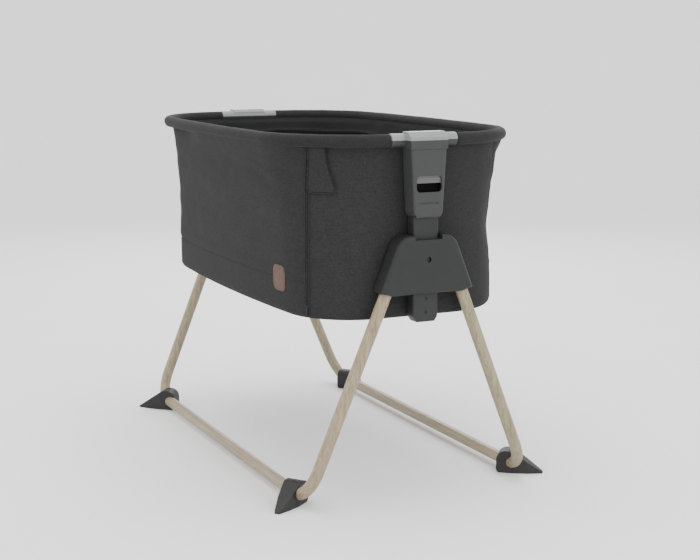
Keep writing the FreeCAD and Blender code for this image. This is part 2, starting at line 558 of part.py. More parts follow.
def latch(tag, turn):
    body = new_body(tag + "_release_lever", turn)
    sk = new_sketch(body, tag + "_lever_face", "XZ_Plane", D.lever_mid)
    loop(sk, [(-D.lever_low_half, D.lever_low), (D.lever_low_half, D.lever_low),
              (D.lever_top_half, D.lever_top), (-D.lever_top_half, D.lever_top)], [num(2.0)] * 4)
    o = D.lever_open_half
    box_loop(sk, -o, o, D.lever_open_low, D.lever_bar_low, num(2.0))
    pad(body, sk, tag + "_lever_pad", D.lever_front - D.lever_mid - 0.5)
    sk = new_sketch(body, tag + "_lever_bar_sketch", "XZ_Plane", D.lever_mid + 1.0)
    box_loop(sk, -o + 0.6, o - 0.6, D.lever_bar_low, D.lever_bar_low + 10.0, num(3.0))
    pad(body, sk, tag + "_lever_bar", D.lever_front - D.lever_mid - 1.0)
    # fork that lifts the lock pin, a wedge either side of the pin
    for sx in (-1.0, 1.0):
        name = tag + ("_fork_a" if sx < 0 else "_fork_b")
        start = D.fork_in if sx > 0 else -D.fork_out
        sk = new_sketch(body, name + "_sketch", "YZ_Plane", start)
        loop(sk, [(-D.lever_back, D.fork_low), (-D.lever_back, D.lever_low + 4.0), (-D.lever_mid - 3.0, D.lever_low + 4.0),
                  (-D.lever_mid - 3.0, D.lever_low - 0.0), (-D.cam_face, D.lock_height + 6.0), (-D.cam_face, D.lock_height),
                  (-D.cam_low_face, D.fork_low)])
        pad(body, sk, name, D.fork_out - D.fork_in)
    keep(body, tag + "_release_lever")

    stem_l = D.pin_head_back - D.pin_tip + 0.2
    y0 = -D.pin_tip if not turn else D.pin_tip + stem_l
    stem = prim("Cylinder", tag + "_pin_stem", {"Radius": D.lock_hole_rad - 0.25, "Height": stem_l},
                (ZERO, y0, D.lock_height), ALONG_Y)
    t = D.pin_head_front - D.pin_head_back
    head = prim("Box", tag + "_pin_bar", {"Length": D.pin_head_half * 2.0, "Width": t, "Height": D.pin_head_tall * 2.0},
                (-D.pin_head_half, -D.pin_head_front if not turn else D.pin_head_back, D.lock_height - D.pin_head_tall))
    keep(fuse(tag + "_lock_pin", [stem, head]), tag + "_lock_pin")

    # return spring between the lever and the top of its chamber
    z0, z1 = D.lever_top + D.spring_wire + 0.15, D.pocket_top - D.spring_wire - 0.15
    y_mid = (D.lever_mid + D.lever_front) / 2.0 * (1.0 if turn else -1.0)
    helix = prim("Helix", tag + "_spring_line", {"Height": z1 - z0, "Pitch": (z1 - z0) / D.spring_turns,
                                                 "Radius": D.spring_rad}, (ZERO, y_mid, z0))
    ring = doc.addObject("Part::Circle", tag + "_spring_ring")
    ring.Radius = D.spring_wire.v
    ring.setExpression("Radius", D.spring_wire.e)
    ring.Placement = Placement(Vector(D.spring_rad.v, y_mid.v, z0.v), Rotation(Vector(1, 0, 0), 90))
    ring.setExpression("Placement.Base.x", D.spring_rad.e)
    ring.setExpression("Placement.Base.y", y_mid.e)
    ring.setExpression("Placement.Base.z", z0.e)
    sweep = doc.addObject("Part::Sweep", tag + "_lever_spring")
    sweep.Sections = [ring]
    sweep.Spine = (helix, ["Edge1"])
    sweep.Solid = True
    sweep.Frenet = True
    doc.recompute()
    keep(sweep, tag + "_lever_spring")


# ---------------------------------------------------------------- legs and feet

def leg(side):
    """One bent tube: down the front leg, along the floor, up the rear leg."""
    sx = -1.0 if side == "left" else 1.0
    run = root((D.foot_x - D.pivot_x) * (D.foot_x - D.pivot_x) + (D.pivot_z - D.foot_z) * (D.pivot_z - D.foot_z))
    lean = (D.pivot_y - D.foot_y) / run
    top_z = run + D.leg_over
    top_y = D.pivot_y + lean * D.leg_over

    def place(obj):
        angle = (D.foot_x - D.pivot_x) / (D.pivot_z - D.foot_z)
        obj.Placement = Placement(Vector(sx * D.foot_x.v, 0, D.foot_z.v),
                                  Rotation(Vector(0, -sx, 0), math.degrees(math.atan(angle.v))))
        obj.setExpression("Placement.Base.x", (D.foot_x * sx).e)
        obj.setExpression("Placement.Base.z", D.foot_z.e)
        obj.setExpression("Placement.Rotation.Angle", "atan(%s)" % angle.e)

    def tube(label, outer, inner):
        body = new_body(label)
        path = new_sketch(body, label + "_path", "YZ_Plane")
        loop(path, [(-top_y, top_z), (-D.foot_y, ZERO), (D.foot_y, ZERO), (top_y, top_z)],
             [None, D.leg_bend, D.leg_bend, None], closed=False)
        ring = new_sketch(body, label + "_ring", "XY_Plane", top_z)
        circle(ring, ZERO, -top_y, outer)
        pipe = body.newObject("PartDesign::AdditivePipe", label + "_pipe")
        pipe.Profile = ring
        pipe.Spine = path
        doc.recompute()
        if inner is not None:
            bore = new_sketch(body, label + "_bore", "XY_Plane", top_z)
            circle(bore, ZERO, -top_y, inner)
            cut = body.newObject("PartDesign::SubtractivePipe", label + "_hollow")
            cut.Profile = bore
            cut.Spine = path
            doc.recompute()
        return body

    body = tube(side + "_leg_tube", D.leg_rad, D.leg_rad - D.leg_wall)
    sk = new_sketch(body, side + "_pivot_holes", "XZ_Plane", num(-520.0))
    circle(sk, ZERO, run, D.pin_rad + D.pin_fit)
    pocket(body, sk, side + "_pivot_bore", num(1040.0), back=True)
    place(body)
    keep(body, side + "_leg_tube")

    space = tube(side + "_leg_space", D.leg_rad + 0.02, None)
    place(space)
    doc.recompute()

    plugs = []
    for tag, sy in (("front", -1.0), ("rear", 1.0)):
        b = new_body("%s_%s_plug" % (tag, side))
        sk = new_sketch(b, "%s_%s_plug_disc" % (tag, side), "XY_Plane", top_z + 1.6)
        circle(sk, ZERO, top_y * sy, D.leg_rad - 1.3)
        pad(b, sk, "%s_%s_plug_head" % (tag, side), num(1.05), back=True)
        sk = new_sketch(b, "%s_%s_plug_core" % (tag, side), "XY_Plane", top_z + 0.7)
        circle(sk, ZERO, (top_y - 0.35) * sy, D.leg_rad - D.leg_wall - 1.0)
        pad(b, sk, "%s_%s_plug_stem" % (tag, side), D.plug_len, back=True)
        sk = new_sketch(b, "%s_%s_plug_hole" % (tag, side), "XZ_Plane", num(-520.0))
        circle(sk, ZERO, run, D.pin_rad + D.pin_fit)
        pocket(b, sk, "%s_%s_plug_bore" % (tag, side), num(1040.0), back=True)
        place(b)
        plugs.append(b)
    keep(fuse(side + "_leg_plugs", plugs), side + "_leg_plugs")

    for tag, sy in (("front", -1.0), ("rear", 1.0)):
        # a wedge whose toe points outward past the corner, made in its own frame and then turned
        label = "%s_%s_foot" % (tag, side)
        b = new_body(label + "_block")
        sk = new_sketch(b, label + "_profile", "XZ_Plane", -D.foot_half_wid)
        loop(sk, [(-D.foot_heel, ZERO), (D.foot_toe, ZERO), (num(8.0), D.foot_tall), (-D.foot_heel + 1.0, D.foot_tall)],
             [num(9.0), num(2.0), num(16.0), num(19.0)])
        pad(b, sk, label + "_pad", D.foot_half_wid * 2.0)
        round_edges(b, label + "_soft_a", num(5.0), at_plane(Y, D.foot_half_wid.v))
        round_edges(b, label + "_soft_b", num(5.0), at_plane(Y, -D.foot_half_wid.v))
        for k in (-1.0, 1.0):
            sk = new_sketch(b, label + ("_toe_sketch_a" if k < 0 else "_toe_sketch_b"), "XY_Plane", num(-5.0))
            w = D.foot_half_wid
            loop(sk, [(num(14.0), w * k + 5.0 * k), (num(14.0), w * k), (num(44.0), num(13.5 * k)), (num(70.0), num(6.0 * k)),
                      (D.foot_toe - 0.6, num(2.2 * k)), (D.foot_toe + 12.0, num(2.2 * k)), (D.foot_toe + 12.0, w * k + 5.0 * k)],
                 [None, None, num(30.0), num(20.0), None, None, None])
            pocket(b, sk, label + ("_toe_a" if k < 0 else "_toe_b"), num(80.0), back=True)
        turn_deg = sy * (D.foot_turn.v if sx > 0 else 180.0 - D.foot_turn.v)
        b.Placement = Placement(Vector(sx * D.foot_x.v, sy * D.foot_top_y.v, 0), Rotation(Vector(0, 0, 1), turn_deg))
        b.setExpression("Placement.Base.x", (D.foot_x * sx).e)
        b.setExpression("Placement.Base.y", (D.foot_top_y * sy).e)
        doc.recompute()
        keep(boolean("Cut", label, b, space), label)


# ---------------------------------------------------------------- basket

def ring_edges(a, b, rc, rs, z, off=0.0):
    """Closed outline: flat ends, round corners and slightly bowed sides, moved out by off."""
    s = b - rs + math.sqrt((rs - rc) ** 2 - (a - rc) ** 2)
    c2 = Vector(s, -a + rc, z)
    c3 = Vector(b - rs, 0, z)
    j = c2 + (c2 - c3).normalize() * rc
    half_mid = ((Vector(0, -1, 0) + (j - c2).normalize()).normalize())
    rc_o, a_o, b_o = rc + off, a + off, b + off
    jo = c2 + (j - c2).normalize() * rc_o
    mo = c2 + half_mid * rc_o

    def m(v, mx, my):
        return Vector(v.x * mx, v.y * my, v.z)

    e = []
    p0 = Vector(s, -a_o, z)
    side = Vector(b_o, 0, z)
    e.append(Part.LineSegment(m(p0, -1, 1), p0).toShape())
    e.append(Part.Arc(p0, mo, jo).toShape())
    e.append(Part.Arc(jo, side, m(jo, 1, -1)).toShape())
    e.append(Part.Arc(m(jo, 1, -1), m(mo, 1, -1), m(p0, 1, -1)).toShape())
    e.append(Part.LineSegment(m(p0, 1, -1), m(p0, -1, -1)).toShape())
    e.append(Part.Arc(m(p0, -1, -1), m(mo, -1, -1), m(jo, -1, -1)).toShape())
    e.append(Part.Arc(m(jo, -1, -1), m(side, -1, 1), m(jo, -1, 1)).toShape())
    e.append(Part.Arc(m(jo, -1, 1), m(mo, -1, 1), m(p0, -1, 1)).toShape())
    return e


def level(name, off=0.0, z=None):
    a, b, rc = [getattr(D, name + k).v for k in ("_half_len", "_half_wid", "_corner_rad")]
    return Part.Wire(ring_edges(a, b, rc, D.wall_side_rad.v, getattr(D, name + "_height").v if z is None else z, off))


def wall_solid(off, z_low, z_high):
    """Lofted basket body, its outline moved out by off, cut level at both ends."""
    wires = [level(n, off) for n in ("base", "band", "waist", "top")]
    solid = Part.makeLoft(wires, True, False)
    slab = Part.makeBox(800, 1200, z_high - z_low, Vector(-400, -600, z_low))
    return solid.common(slab)


def soft(label, shape):
    if len(shape.Solids) == 1:
        shape = shape.Solids[0]
    obj = doc.addObject("Part::Feature", label)
    obj.Shape = shape
    keep(obj, label)
    return obj


def basket():
    z_b, z_t = D.base_height.v, D.top_height.v
    t = D.wall_thick.v
    s = D.seam_half_wid.v
    outer = wall_solid(0.0, z_b, z_t)
    inner = wall_solid(-t, z_b + D.skin_thick.v, z_t)
    shell = outer.cut(inner)
    floor = Part.makeBox(900, 1200, D.skin_thick.v, Vector(-450, -600, z_b))
    walls = shell.cut(floor)
    soft("bottom_panel", outer.common(floor))
    big = 700.0
    left = Part.makeBox(big, 2 * big, big, Vector(-s - big, -big, z_b))
    right = Part.makeBox(big, 2 * big, big, Vector(s, -big, z_b))
    front = Part.makeBox(2 * s, big, big, Vector(-s, -big, z_b))
    rear = Part.makeBox(2 * s, big, big, Vector(-s, 0, z_b))
    for label, region in (("left_wall", left), ("right_wall", right), ("front_wall", front), ("rear_wall", rear)):
        soft(label, walls.common(region))

    # lining, just inside the walls
    a = wall_solid(-t - D.liner_gap.v, D.base_height.v + 14.0, z_t - 0.5)
    b = wall_solid(-t - D.liner_gap.v - D.liner_thick.v, D.base_height.v + 12.0, z_t)
    soft("liner", a.cut(b))

    # base board and mattress
    z0 = z_b + D.skin_thick.v + D.soft_gap.v
    board = Part.Face(level("base", -D.board_inset.v, z0)).extrude(Vector(0, 0, D.board_thick.v))
    soft("base_board", board)
    z1 = z0 + D.board_thick.v + D.soft_gap.v
    mat = Part.Face(level("base", -D.mattress_inset.v, z1)).extrude(Vector(0, 0, D.mattress_thick.v))
    edges = [e for e in mat.Edges if abs(e.BoundBox.ZMax - e.BoundBox.ZMin) < 1e-6]
    soft("mattress", mat.makeFillet(9.0, edges))

    # zip tapes on the two left corners, over the seams
    a = wall_solid(D.zip_gap.v + D.zip_thick.v, z_b + 8.0, z_t - 3.0)
    b = wall_solid(D.zip_gap.v, z_b, z_t)
    skin = a.cut(b)
    for tag, sy in (("front", -1.0), ("rear", 1.0)):
        slab = Part.makeBox(D.zip_width.v, 300, 400, Vector(-s - D.zip_width.v / 2, sy * 450 - 150, z_b - 10))
        soft("left_%s_zip" % tag, skin.common(slab))
    # corner flaps that hang from the rim beside the zips
    a = wall_solid(D.flap_gap.v + D.flap_thick.v, z_t - D.flap_drop.v, z_t - 1.0)
    b = wall_solid(D.flap_gap.v, z_b, z_t)
    skin = a.cut(b)
    for tag, sy in (("front", -1.0), ("rear", 1.0)):
        slab = Part.makeBox(D.flap_width.v, 300, 400, Vector(-s + 1.0, sy * 450 - 150, z_b))
        soft("left_%s_flap" % tag, skin.common(slab))
    # leather tag on the left side
    a = wall_solid(D.tag_gap.v + D.tag_thick.v, z_b, z_t)
    b = wall_solid(D.tag_gap.v, z_b, z_t)
    h = D.tag_half.v
    block = Part.makeBox(200, 2 * h, 2 * h, Vector(-400, D.tag_mid_y.v - h, D.tag_mid_z.v - h))
    block = block.makeFillet(12.0, [e for e in block.Edges if abs(e.BoundBox.XMax - e.BoundBox.XMin) > 100])
    soft("leather_tag", a.cut(b).common(block))


def rim_path(side, start):
    """Open C from the front clamp round one side to the rear clamp."""
    edges = ring_edges(D.rim_half_len.v, D.rim_half_wid.v, D.rim_corner_rad.v, D.rim_side_rad.v, D.rim_height.v)
    corner_f, long_side, corner_r = edges[1], edges[2], edges[3]
    p0 = corner_f.Vertexes[0].Point
    if start < p0.x:
        first = Part.LineSegment(Vector(start, p0.y, p0.z), p0).toShape()
        last = Part.LineSegment(Vector(p0.x, -p0.y, p0.z), Vector(start, -p0.y, p0.z)).toShape()
        wire = [first, corner_f, long_side, corner_r, last]
    else:
        c = corner_f.Curve.Center
        r = corner_f.Curve.Radius
        ang = math.asin((start - c.x) / r)
        p = Vector(start, c.y - r * math.cos(ang), c.z)
        end = corner_f.Vertexes[1].Point
        mid = c + ((p - c) + (end - c)).normalize() * r
        first = Part.Arc(p, mid, end).toShape()
        last = Part.Arc(Vector(end.x, -end.y, end.z), Vector(mid.x, -mid.y, mid.z), Vector(p.x, -p.y, p.z)).toShape()
        wire = [first, long_side, last]
    wire = Part.Wire(wire)
    if side == "left":
        wire = wire.mirror(Vector(0, 0, 0), Vector(1, 0, 0))
    return wire


def pipe(path, radius):
    p = path.OrderedVertexes[0].Point
    tangent = path.OrderedEdges[0].tangentAt(path.OrderedEdges[0].FirstParameter)
    ring = Part.Wire([Part.Circle(p, tangent, radius).toShape()])
    return path.makePipeShell([ring], True, False)


def rim():
    r, w = D.rim_tube_rad.v, D.rim_tube_wall.v
    for side in ("left", "right"):
        path = rim_path(side, 0.4)
        soft(side + "_rim_tube", pipe(path, r).cut(pipe(path, r - w)))
        path = rim_path(side, D.rim_cover_start.v)
        soft(side + "_rim_cover", pipe(path, D.rim_cover_rad.v).cut(pipe(path, r + D.rim_cover_gap.v)))


for tag_, turn_ in (("front", False), ("rear", True)):
    post(tag_, turn_)
    hub(tag_, turn_)
    sleeve(tag_, turn_)
    clamp(tag_, turn_)
    latch(tag_, turn_)
for side_ in ("left", "right"):
    leg(side_)
basket()
rim()
doc.recompute()

# ---------------------------------------------------------------- checks and files
for o in doc.Objects:
    if "Invalid" in o.State or "Error" in o.State:
        raise RuntimeError("%s failed: %s" % (o.Label, o.State))
os.makedirs("parts", exist_ok=True)
for label, obj in FINAL:
    shape = obj.Shape
    if shape.isNull() or not shape.isValid() or shape.Volume <= 0:
        raise RuntimeError("%s has no sound shape" % label)
for label, obj in FINAL:
    obj.Shape.exportStep("parts/%s.step" % label)
    bb = obj.Shape.BoundBox
    print("%-22s solids %d  vol %9.0f  x %7.1f %7.1f  y %7.1f %7.1f  z %7.1f %7.1f" % (
        label, len(obj.Shape.Solids), obj.Shape.Volume, bb.XMin, bb.XMax, bb.YMin, bb.YMax, bb.ZMin, bb.ZMax))
print(len(FINAL), "nodes")
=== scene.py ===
import bpy
import bmesh
import json
import math
import numpy as np
from mathutils import Vector, Matrix, noise

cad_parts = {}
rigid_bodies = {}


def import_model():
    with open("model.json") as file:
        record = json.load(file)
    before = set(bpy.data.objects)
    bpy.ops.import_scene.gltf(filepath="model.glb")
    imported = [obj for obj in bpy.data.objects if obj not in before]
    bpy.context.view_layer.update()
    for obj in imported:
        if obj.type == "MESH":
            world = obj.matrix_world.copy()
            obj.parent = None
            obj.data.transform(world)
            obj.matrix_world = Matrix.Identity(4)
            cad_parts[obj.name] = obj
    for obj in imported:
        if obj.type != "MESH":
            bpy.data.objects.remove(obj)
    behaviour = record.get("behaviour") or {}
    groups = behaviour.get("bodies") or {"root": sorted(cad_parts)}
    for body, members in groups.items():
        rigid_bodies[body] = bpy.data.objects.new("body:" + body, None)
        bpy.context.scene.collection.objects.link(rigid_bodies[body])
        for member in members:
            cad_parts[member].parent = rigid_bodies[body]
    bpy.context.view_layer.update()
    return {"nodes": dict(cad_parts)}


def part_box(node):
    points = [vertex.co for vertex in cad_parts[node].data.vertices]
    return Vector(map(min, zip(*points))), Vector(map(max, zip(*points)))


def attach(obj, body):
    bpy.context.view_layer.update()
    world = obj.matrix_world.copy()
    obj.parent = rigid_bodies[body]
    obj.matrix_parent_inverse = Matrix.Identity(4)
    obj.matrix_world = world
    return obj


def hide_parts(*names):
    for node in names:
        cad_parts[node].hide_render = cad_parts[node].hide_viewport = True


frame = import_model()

nodes = frame["nodes"]
scene = bpy.context.scene
col = scene.collection

# ------------------------------------------------------------------ camera and light
cam_data = bpy.data.cameras.new("camera")
cam_data.lens = 36.0 * 1400.4 / 700.0
cam_data.sensor_width = 36.0
cam_data.clip_start, cam_data.clip_end = 0.05, 60.0
camera = bpy.data.objects.new("camera", cam_data)
camera.location = (-1.2702, -2.8079, 0.8961)
camera.rotation_euler = (math.radians(90 - 9.826), 0.0, math.radians(-25.41))
col.objects.link(camera)
scene.camera = camera


def area(name, loc, target, size, power, color=(1, 1, 1)):
    d = bpy.data.lights.new(name, "AREA")
    d.shape = "RECTANGLE"
    d.size, d.size_y = size
    d.energy = power
    d.color = color
    o = bpy.data.objects.new(name, d)
    o.location = loc
    o.rotation_euler = (Vector(target) - Vector(loc)).to_track_quat("-Z", "Y").to_euler()
    col.objects.link(o)
    return o


area("key", (-2.4, -2.2, 2.7), (0, 0, 0.5), (1.8, 1.8), 18)
area("fill", (0.9, -3.4, 1.7), (0, 0, 0.5), (2.0, 1.6), 34)
area("top", (0.0, 0.4, 3.2), (0, 0, 0.6), (2.4, 2.4), 62)
area("rim_light", (1.4, 2.8, 1.7), (0, 0, 0.5), (1.6, 1.2), 30)

world = bpy.data.worlds.new("studio")
scene.world = world
world.use_nodes = True
world.node_tree.nodes["Background"].inputs["Color"].default_value = (1, 1, 1, 1)
world.node_tree.nodes["Background"].inputs["Strength"].default_value = 1.7


# ------------------------------------------------------------------ materials
class Nodes:
    """Small helper round a material's node tree."""

    def __init__(self, name, rough=0.5):
        self.mat = bpy.data.materials.new(name)
        self.mat.use_nodes = True
        self.t = self.mat.node_tree
        self.b = self.t.nodes["Principled BSDF"]
        self.b.inputs["Roughness"].default_value = rough
        self.coord = self.t.nodes.new("ShaderNodeTexCoord")

    def new(self, kind, **values):
        n = self.t.nodes.new("ShaderNode" + kind)
        for k, v in values.items():
            if hasattr(n, k):
                setattr(n, k, v)
            else:
                n.inputs[k.replace("_", " ")].default_value = v
        return n

    def link(self, a, b):
        self.t.links.new(a, b)

    def mapping(self, scale=(1, 1, 1), rot=(0, 0, 0), src=None):
        m = self.t.nodes.new("ShaderNodeMapping")
        m.inputs["Scale"].default_value = scale
        m.inputs["Rotation"].default_value = rot
        self.link(src or self.coord.outputs["Object"], m.inputs["Vector"])
        return m.outputs["Vector"]

    def noise(self, scale, detail=2.0, rough=0.5, vec=None, distort=0.0):
        n = self.t.nodes.new("ShaderNodeTexNoise")
        n.inputs["Scale"].default_value = scale
        n.inputs["Detail"].default_value = detail
        n.inputs["Roughness"].default_value = rough
        n.inputs["Distortion"].default_value = distort
        self.link(vec or self.coord.outputs["Object"], n.inputs["Vector"])
        return n.outputs["Fac"]

    def wave(self, vec, scale, direction="X", distort=0.0, detail=0.0, dscale=1.0):
        w = self.t.nodes.new("ShaderNodeTexWave")
        w.wave_type = "BANDS"
        w.bands_direction = direction
        w.inputs["Scale"].default_value = scale
        w.inputs["Distortion"].default_value = distort
        w.inputs["Detail"].default_value = detail
        w.inputs["Detail Scale"].default_value = dscale
        self.link(vec, w.inputs["Vector"])
        return w.outputs["Fac"]

    def math(self, op, a, b=None, clamp=False):
        m = self.t.nodes.new("ShaderNodeMath")
        m.operation = op
        m.use_clamp = clamp
        for i, v in enumerate((a, b)):
            if v is None:
                continue
            if isinstance(v, (int, float)):
                m.inputs[i].default_value = v
            else:
                self.link(v, m.inputs[i])
        return m.outputs[0]

    def remap(self, v, a, b, c, d, clamp=True):
        m = self.t.nodes.new("ShaderNodeMapRange")
        m.clamp = clamp
        for k, x in zip(("From Min", "From Max", "To Min", "To Max"), (a, b, c, d)):
            m.inputs[k].default_value = x
        self.link(v, m.inputs["Value"])
        return m.outputs["Result"]

    def ramp(self, v, stops):
        r = self.t.nodes.new("ShaderNodeValToRGB")
        e = r.color_ramp.elements
        while len(e) < len(stops):
            e.new(0.5)
        for el, (p, c) in zip(e, stops):
            el.position = p
            el.color = (*c, 1)
        self.link(v, r.inputs["Fac"])
        return r.outputs["Color"]

    def color(self, sock):
        self.link(sock, self.b.inputs["Base Color"])

    def roughness(self, sock):
        self.link(sock, self.b.inputs["Roughness"])

    def bump(self, height, distance, strength=1.0):
        n = self.t.nodes.new("ShaderNodeBump")
        n.inputs["Distance"].default_value = distance
        n.inputs["Strength"].default_value = strength
        self.link(height, n.inputs["Height"])
        self.link(n.outputs["Normal"], self.b.inputs["Normal"])
        return n


def shade(c, k):
    return tuple(min(1.0, x * k) for x in c)


def fabric(name, base, pitch=0.0011, sheen=0.03, rough=0.9, melange=0.45, bump=0.0003, big=0.10):
    """Woven melange cloth: crossed, slightly uneven threads over a heathered ground."""
    n = Nodes(name, rough)
    k = 1.0 / pitch
    turned = n.mapping(rot=(math.radians(8), math.radians(8), math.radians(45)))
    up = n.noise(1.0, 1.0, 0.5, n.mapping(scale=(k, k, k * 0.16)))
    a1 = n.noise(1.0, 1.0, 0.5, n.mapping(scale=(k * 0.16, k, k), src=turned))
    a2 = n.noise(1.0, 1.0, 0.5, n.mapping(scale=(k, k * 0.16, k), src=turned))
    cross = n.math("MULTIPLY", n.math("ADD", a1, a2), 0.5)
    weave = n.math("MULTIPLY", n.math("ADD", up, cross), 0.5)
    slub = n.noise(1.0, 3.0, 0.6, n.mapping(scale=(60.0, 60.0, 420.0)))
    heather = n.noise(700.0, 3.0, 0.65)
    large = n.noise(3.5, 3.0, 0.55)
    v = n.math("ADD", n.math("MULTIPLY", heather, 0.35), n.math("MULTIPLY", n.math("ADD", weave, n.math("MULTIPLY", slub, 0.35)), 0.5))
    c = n.ramp(n.remap(v, 0.36, 0.66, 0.0, 1.0),
               [(0.0, shade(base, 1 - melange)), (0.5, base), (1.0, shade(base, 1 + melange))])
    mix = n.t.nodes.new("ShaderNodeMix")
    mix.data_type = "RGBA"
    mix.blend_type = "MULTIPLY"
    mix.inputs[0].default_value = 1.0
    n.link(c, mix.inputs[6])
    n.link(n.ramp(large, [(0.32, (1 - big,) * 3), (0.68, (1.0,) * 3)]), mix.inputs[7])
    n.color(mix.outputs[2])
    n.roughness(n.remap(heather, 0.2, 0.8, rough - 0.08, min(1.0, rough + 0.06)))
    n.b.inputs["Sheen Weight"].default_value = sheen
    n.b.inputs["Sheen Roughness"].default_value = 0.45
    n.b.inputs["Specular IOR Level"].default_value = 0.07
    n.bump(n.math("ADD", weave, n.math("MULTIPLY", heather, 0.4)), bump, 0.8)
    return n.mat


def plastic(name, base, rough=0.5, grain=1400.0, bump=0.00009, scuff=0.18, spec=0.22):
    """Moulded plastic: spark-eroded grain, faint flow variation and worn, shinier patches."""
    n = Nodes(name, rough)
    fine = n.noise(grain, 2.0, 0.6)
    flow = n.noise(9.0, 3.0, 0.55, distort=0.4)
    wear = n.noise(60.0, 6.0, 0.7)
    c = n.ramp(flow, [(0.25, shade(base, 1 - scuff * 0.5)), (0.75, shade(base, 1 + scuff * 0.5))])
    mix = n.t.nodes.new("ShaderNodeMix")
    mix.data_type = "RGBA"
    mix.blend_type = "MULTIPLY"
    mix.inputs[0].default_value = 1.0
    n.link(c, mix.inputs[6])
    n.link(n.ramp(fine, [(0.3, (0.9,) * 3), (0.7, (1.06,) * 3)]), mix.inputs[7])
    n.color(mix.outputs[2])
    n.roughness(n.remap(wear, 0.3, 0.75, rough - 0.1, rough + 0.08))
    n.b.inputs["Specular IOR Level"].default_value = spec
    n.bump(fine, bump, 0.7)
    return n.mat


def metal(name, base, rough=0.35):
    n = Nodes(name, rough)
    n.b.inputs["Metallic"].default_value = 0.9
    f = n.noise(300.0, 3.0, 0.6)
    n.color(n.ramp(f, [(0.3, shade(base, 0.8)), (0.7, base)]))
    n.roughness(n.remap(f, 0.3, 0.7, rough - 0.08, rough + 0.12))
    n.bump(n.noise(900.0), 0.00005, 0.5)
    return n.mat


def wood_tube(name):
    """Printed wood-look finish on a bent tube: long grain along the floor bars and along the legs."""
    n = Nodes(name, 0.42)
    sep = n.t.nodes.new("ShaderNodeSeparateXYZ")
    n.link(n.coord.outputs["Object"], sep.inputs[0])
    low = n.remap(sep.outputs["Z"], 0.034, 0.060, 1.0, 0.0)
    bar = n.noise(1.0, 5.0, 0.62, n.mapping(scale=(260, 5, 260)), 0.6)
    leg = n.noise(1.0, 5.0, 0.62, n.mapping(scale=(210, 260, 5)), 0.6)
    pore_b = n.noise(1.0, 2.0, 0.5, n.mapping(scale=(900, 40, 900)))
    pore_l = n.noise(1.0, 2.0, 0.5, n.mapping(scale=(800, 900, 40)))

    def blend(a, b):
        m = n.t.nodes.new("ShaderNodeMix")
        m.data_type = "FLOAT"
        n.link(low, m.inputs[0])
        n.link(a, m.inputs[2])
        n.link(b, m.inputs[3])
        return m.outputs[0]

    grain = blend(leg, bar)
    pore = blend(pore_l, pore_b)
    tint = n.noise(5.0, 2.0, 0.5)
    c = n.ramp(grain, [(0.22, (0.135, 0.100, 0.060)), (0.42, (0.245, 0.195, 0.128)), (0.58, (0.315, 0.258, 0.178)),
                       (0.80, (0.400, 0.340, 0.252))])
    m = n.t.nodes.new("ShaderNodeMix")
    m.data_type = "RGBA"
    m.blend_type = "MULTIPLY"
    m.inputs[0].default_value = 1.0
    n.link(c, m.inputs[6])
    n.link(n.ramp(tint, [(0.36, (1.0, 0.93, 0.89)), (0.5, (1.0, 0.985, 0.94)), (0.64, (0.90, 0.95, 0.84))]), m.inputs[7])
    m2 = n.t.nodes.new("ShaderNodeMix")
    m2.data_type = "RGBA"
    m2.blend_type = "MULTIPLY"
    m2.inputs[0].default_value = 1.0
    n.link(m.outputs[2], m2.inputs[6])
    n.link(n.ramp(pore, [(0.34, (0.78,) * 3), (0.44, (1.0,) * 3)]), m2.inputs[7])
    n.color(m2.outputs[2])
    n.roughness(n.remap(grain, 0.3, 0.7, 0.30, 0.44))
    n.b.inputs["Specular IOR Level"].default_value = 0.5
    n.bump(n.math("ADD", grain, pore), 0.00012, 0.5)
    return n.mat


def leather(name, base):
    n = Nodes(name, 0.5)
    v = n.t.nodes.new("ShaderNodeTexVoronoi")
    v.feature = "DISTANCE_TO_EDGE"
    v.inputs["Scale"].default_value = 700.0
    n.link(n.mapping(scale=(1, 1, 1)), v.inputs["Vector"])
    cells = n.remap(v.outputs["Distance"], 0.0, 0.22, 0.0, 1.0)
    big = n.noise(70.0, 4.0, 0.6)
    c = n.ramp(big, [(0.25, shade(base, 0.62)), (0.5, base), (0.8, shade(base, 1.4))])
    m = n.t.nodes.new("ShaderNodeMix")
    m.data_type = "RGBA"
    m.blend_type = "MULTIPLY"
    m.inputs[0].default_value = 1.0
    n.link(c, m.inputs[6])
    n.link(n.ramp(cells, [(0.0, (0.72,) * 3), (0.5, (1.0,) * 3)]), m.inputs[7])
    n.color(m.outputs[2])
    n.roughness(n.remap(cells, 0.0, 1.0, 0.62, 0.45))
    n.bump(cells, 0.00018, 0.8)
    return n.mat


def lever_material(name):
    """Release lever: the grip bar is bare grey; the plate below it, seen through the window, is painted near black as
    the shade inside the recess.
    """
    n = Nodes(name, 0.42)
    sep = n.t.nodes.new("ShaderNodeSeparateXYZ")
    n.link(n.coord.outputs["Object"], sep.inputs[0])
    bar = n.remap(sep.outputs["Z"], 0.6232, 0.6242, 0.0, 1.0)
    grain = n.noise(1400.0, 2.0, 0.6)
    mix = n.t.nodes.new("ShaderNodeMix")
    mix.data_type = "RGBA"
    n.link(bar, mix.inputs[0])
    # below the grip bar: painted shade, near black, standing in for the shadow inside the window
    n.link(n.ramp(grain, [(0.3, (0.006, 0.006, 0.006)), (0.7, (0.009, 0.009, 0.009))]), mix.inputs[6])
    n.link(n.ramp(grain, [(0.3, (0.062, 0.062, 0.064)), (0.7, (0.074, 0.074, 0.076))]), mix.inputs[7])
    n.color(mix.outputs[2])
    n.roughness(n.remap(n.noise(70.0, 5.0, 0.6), 0.3, 0.7, 0.36, 0.5))
    n.bump(grain, 0.00008, 0.6)
    return n.mat


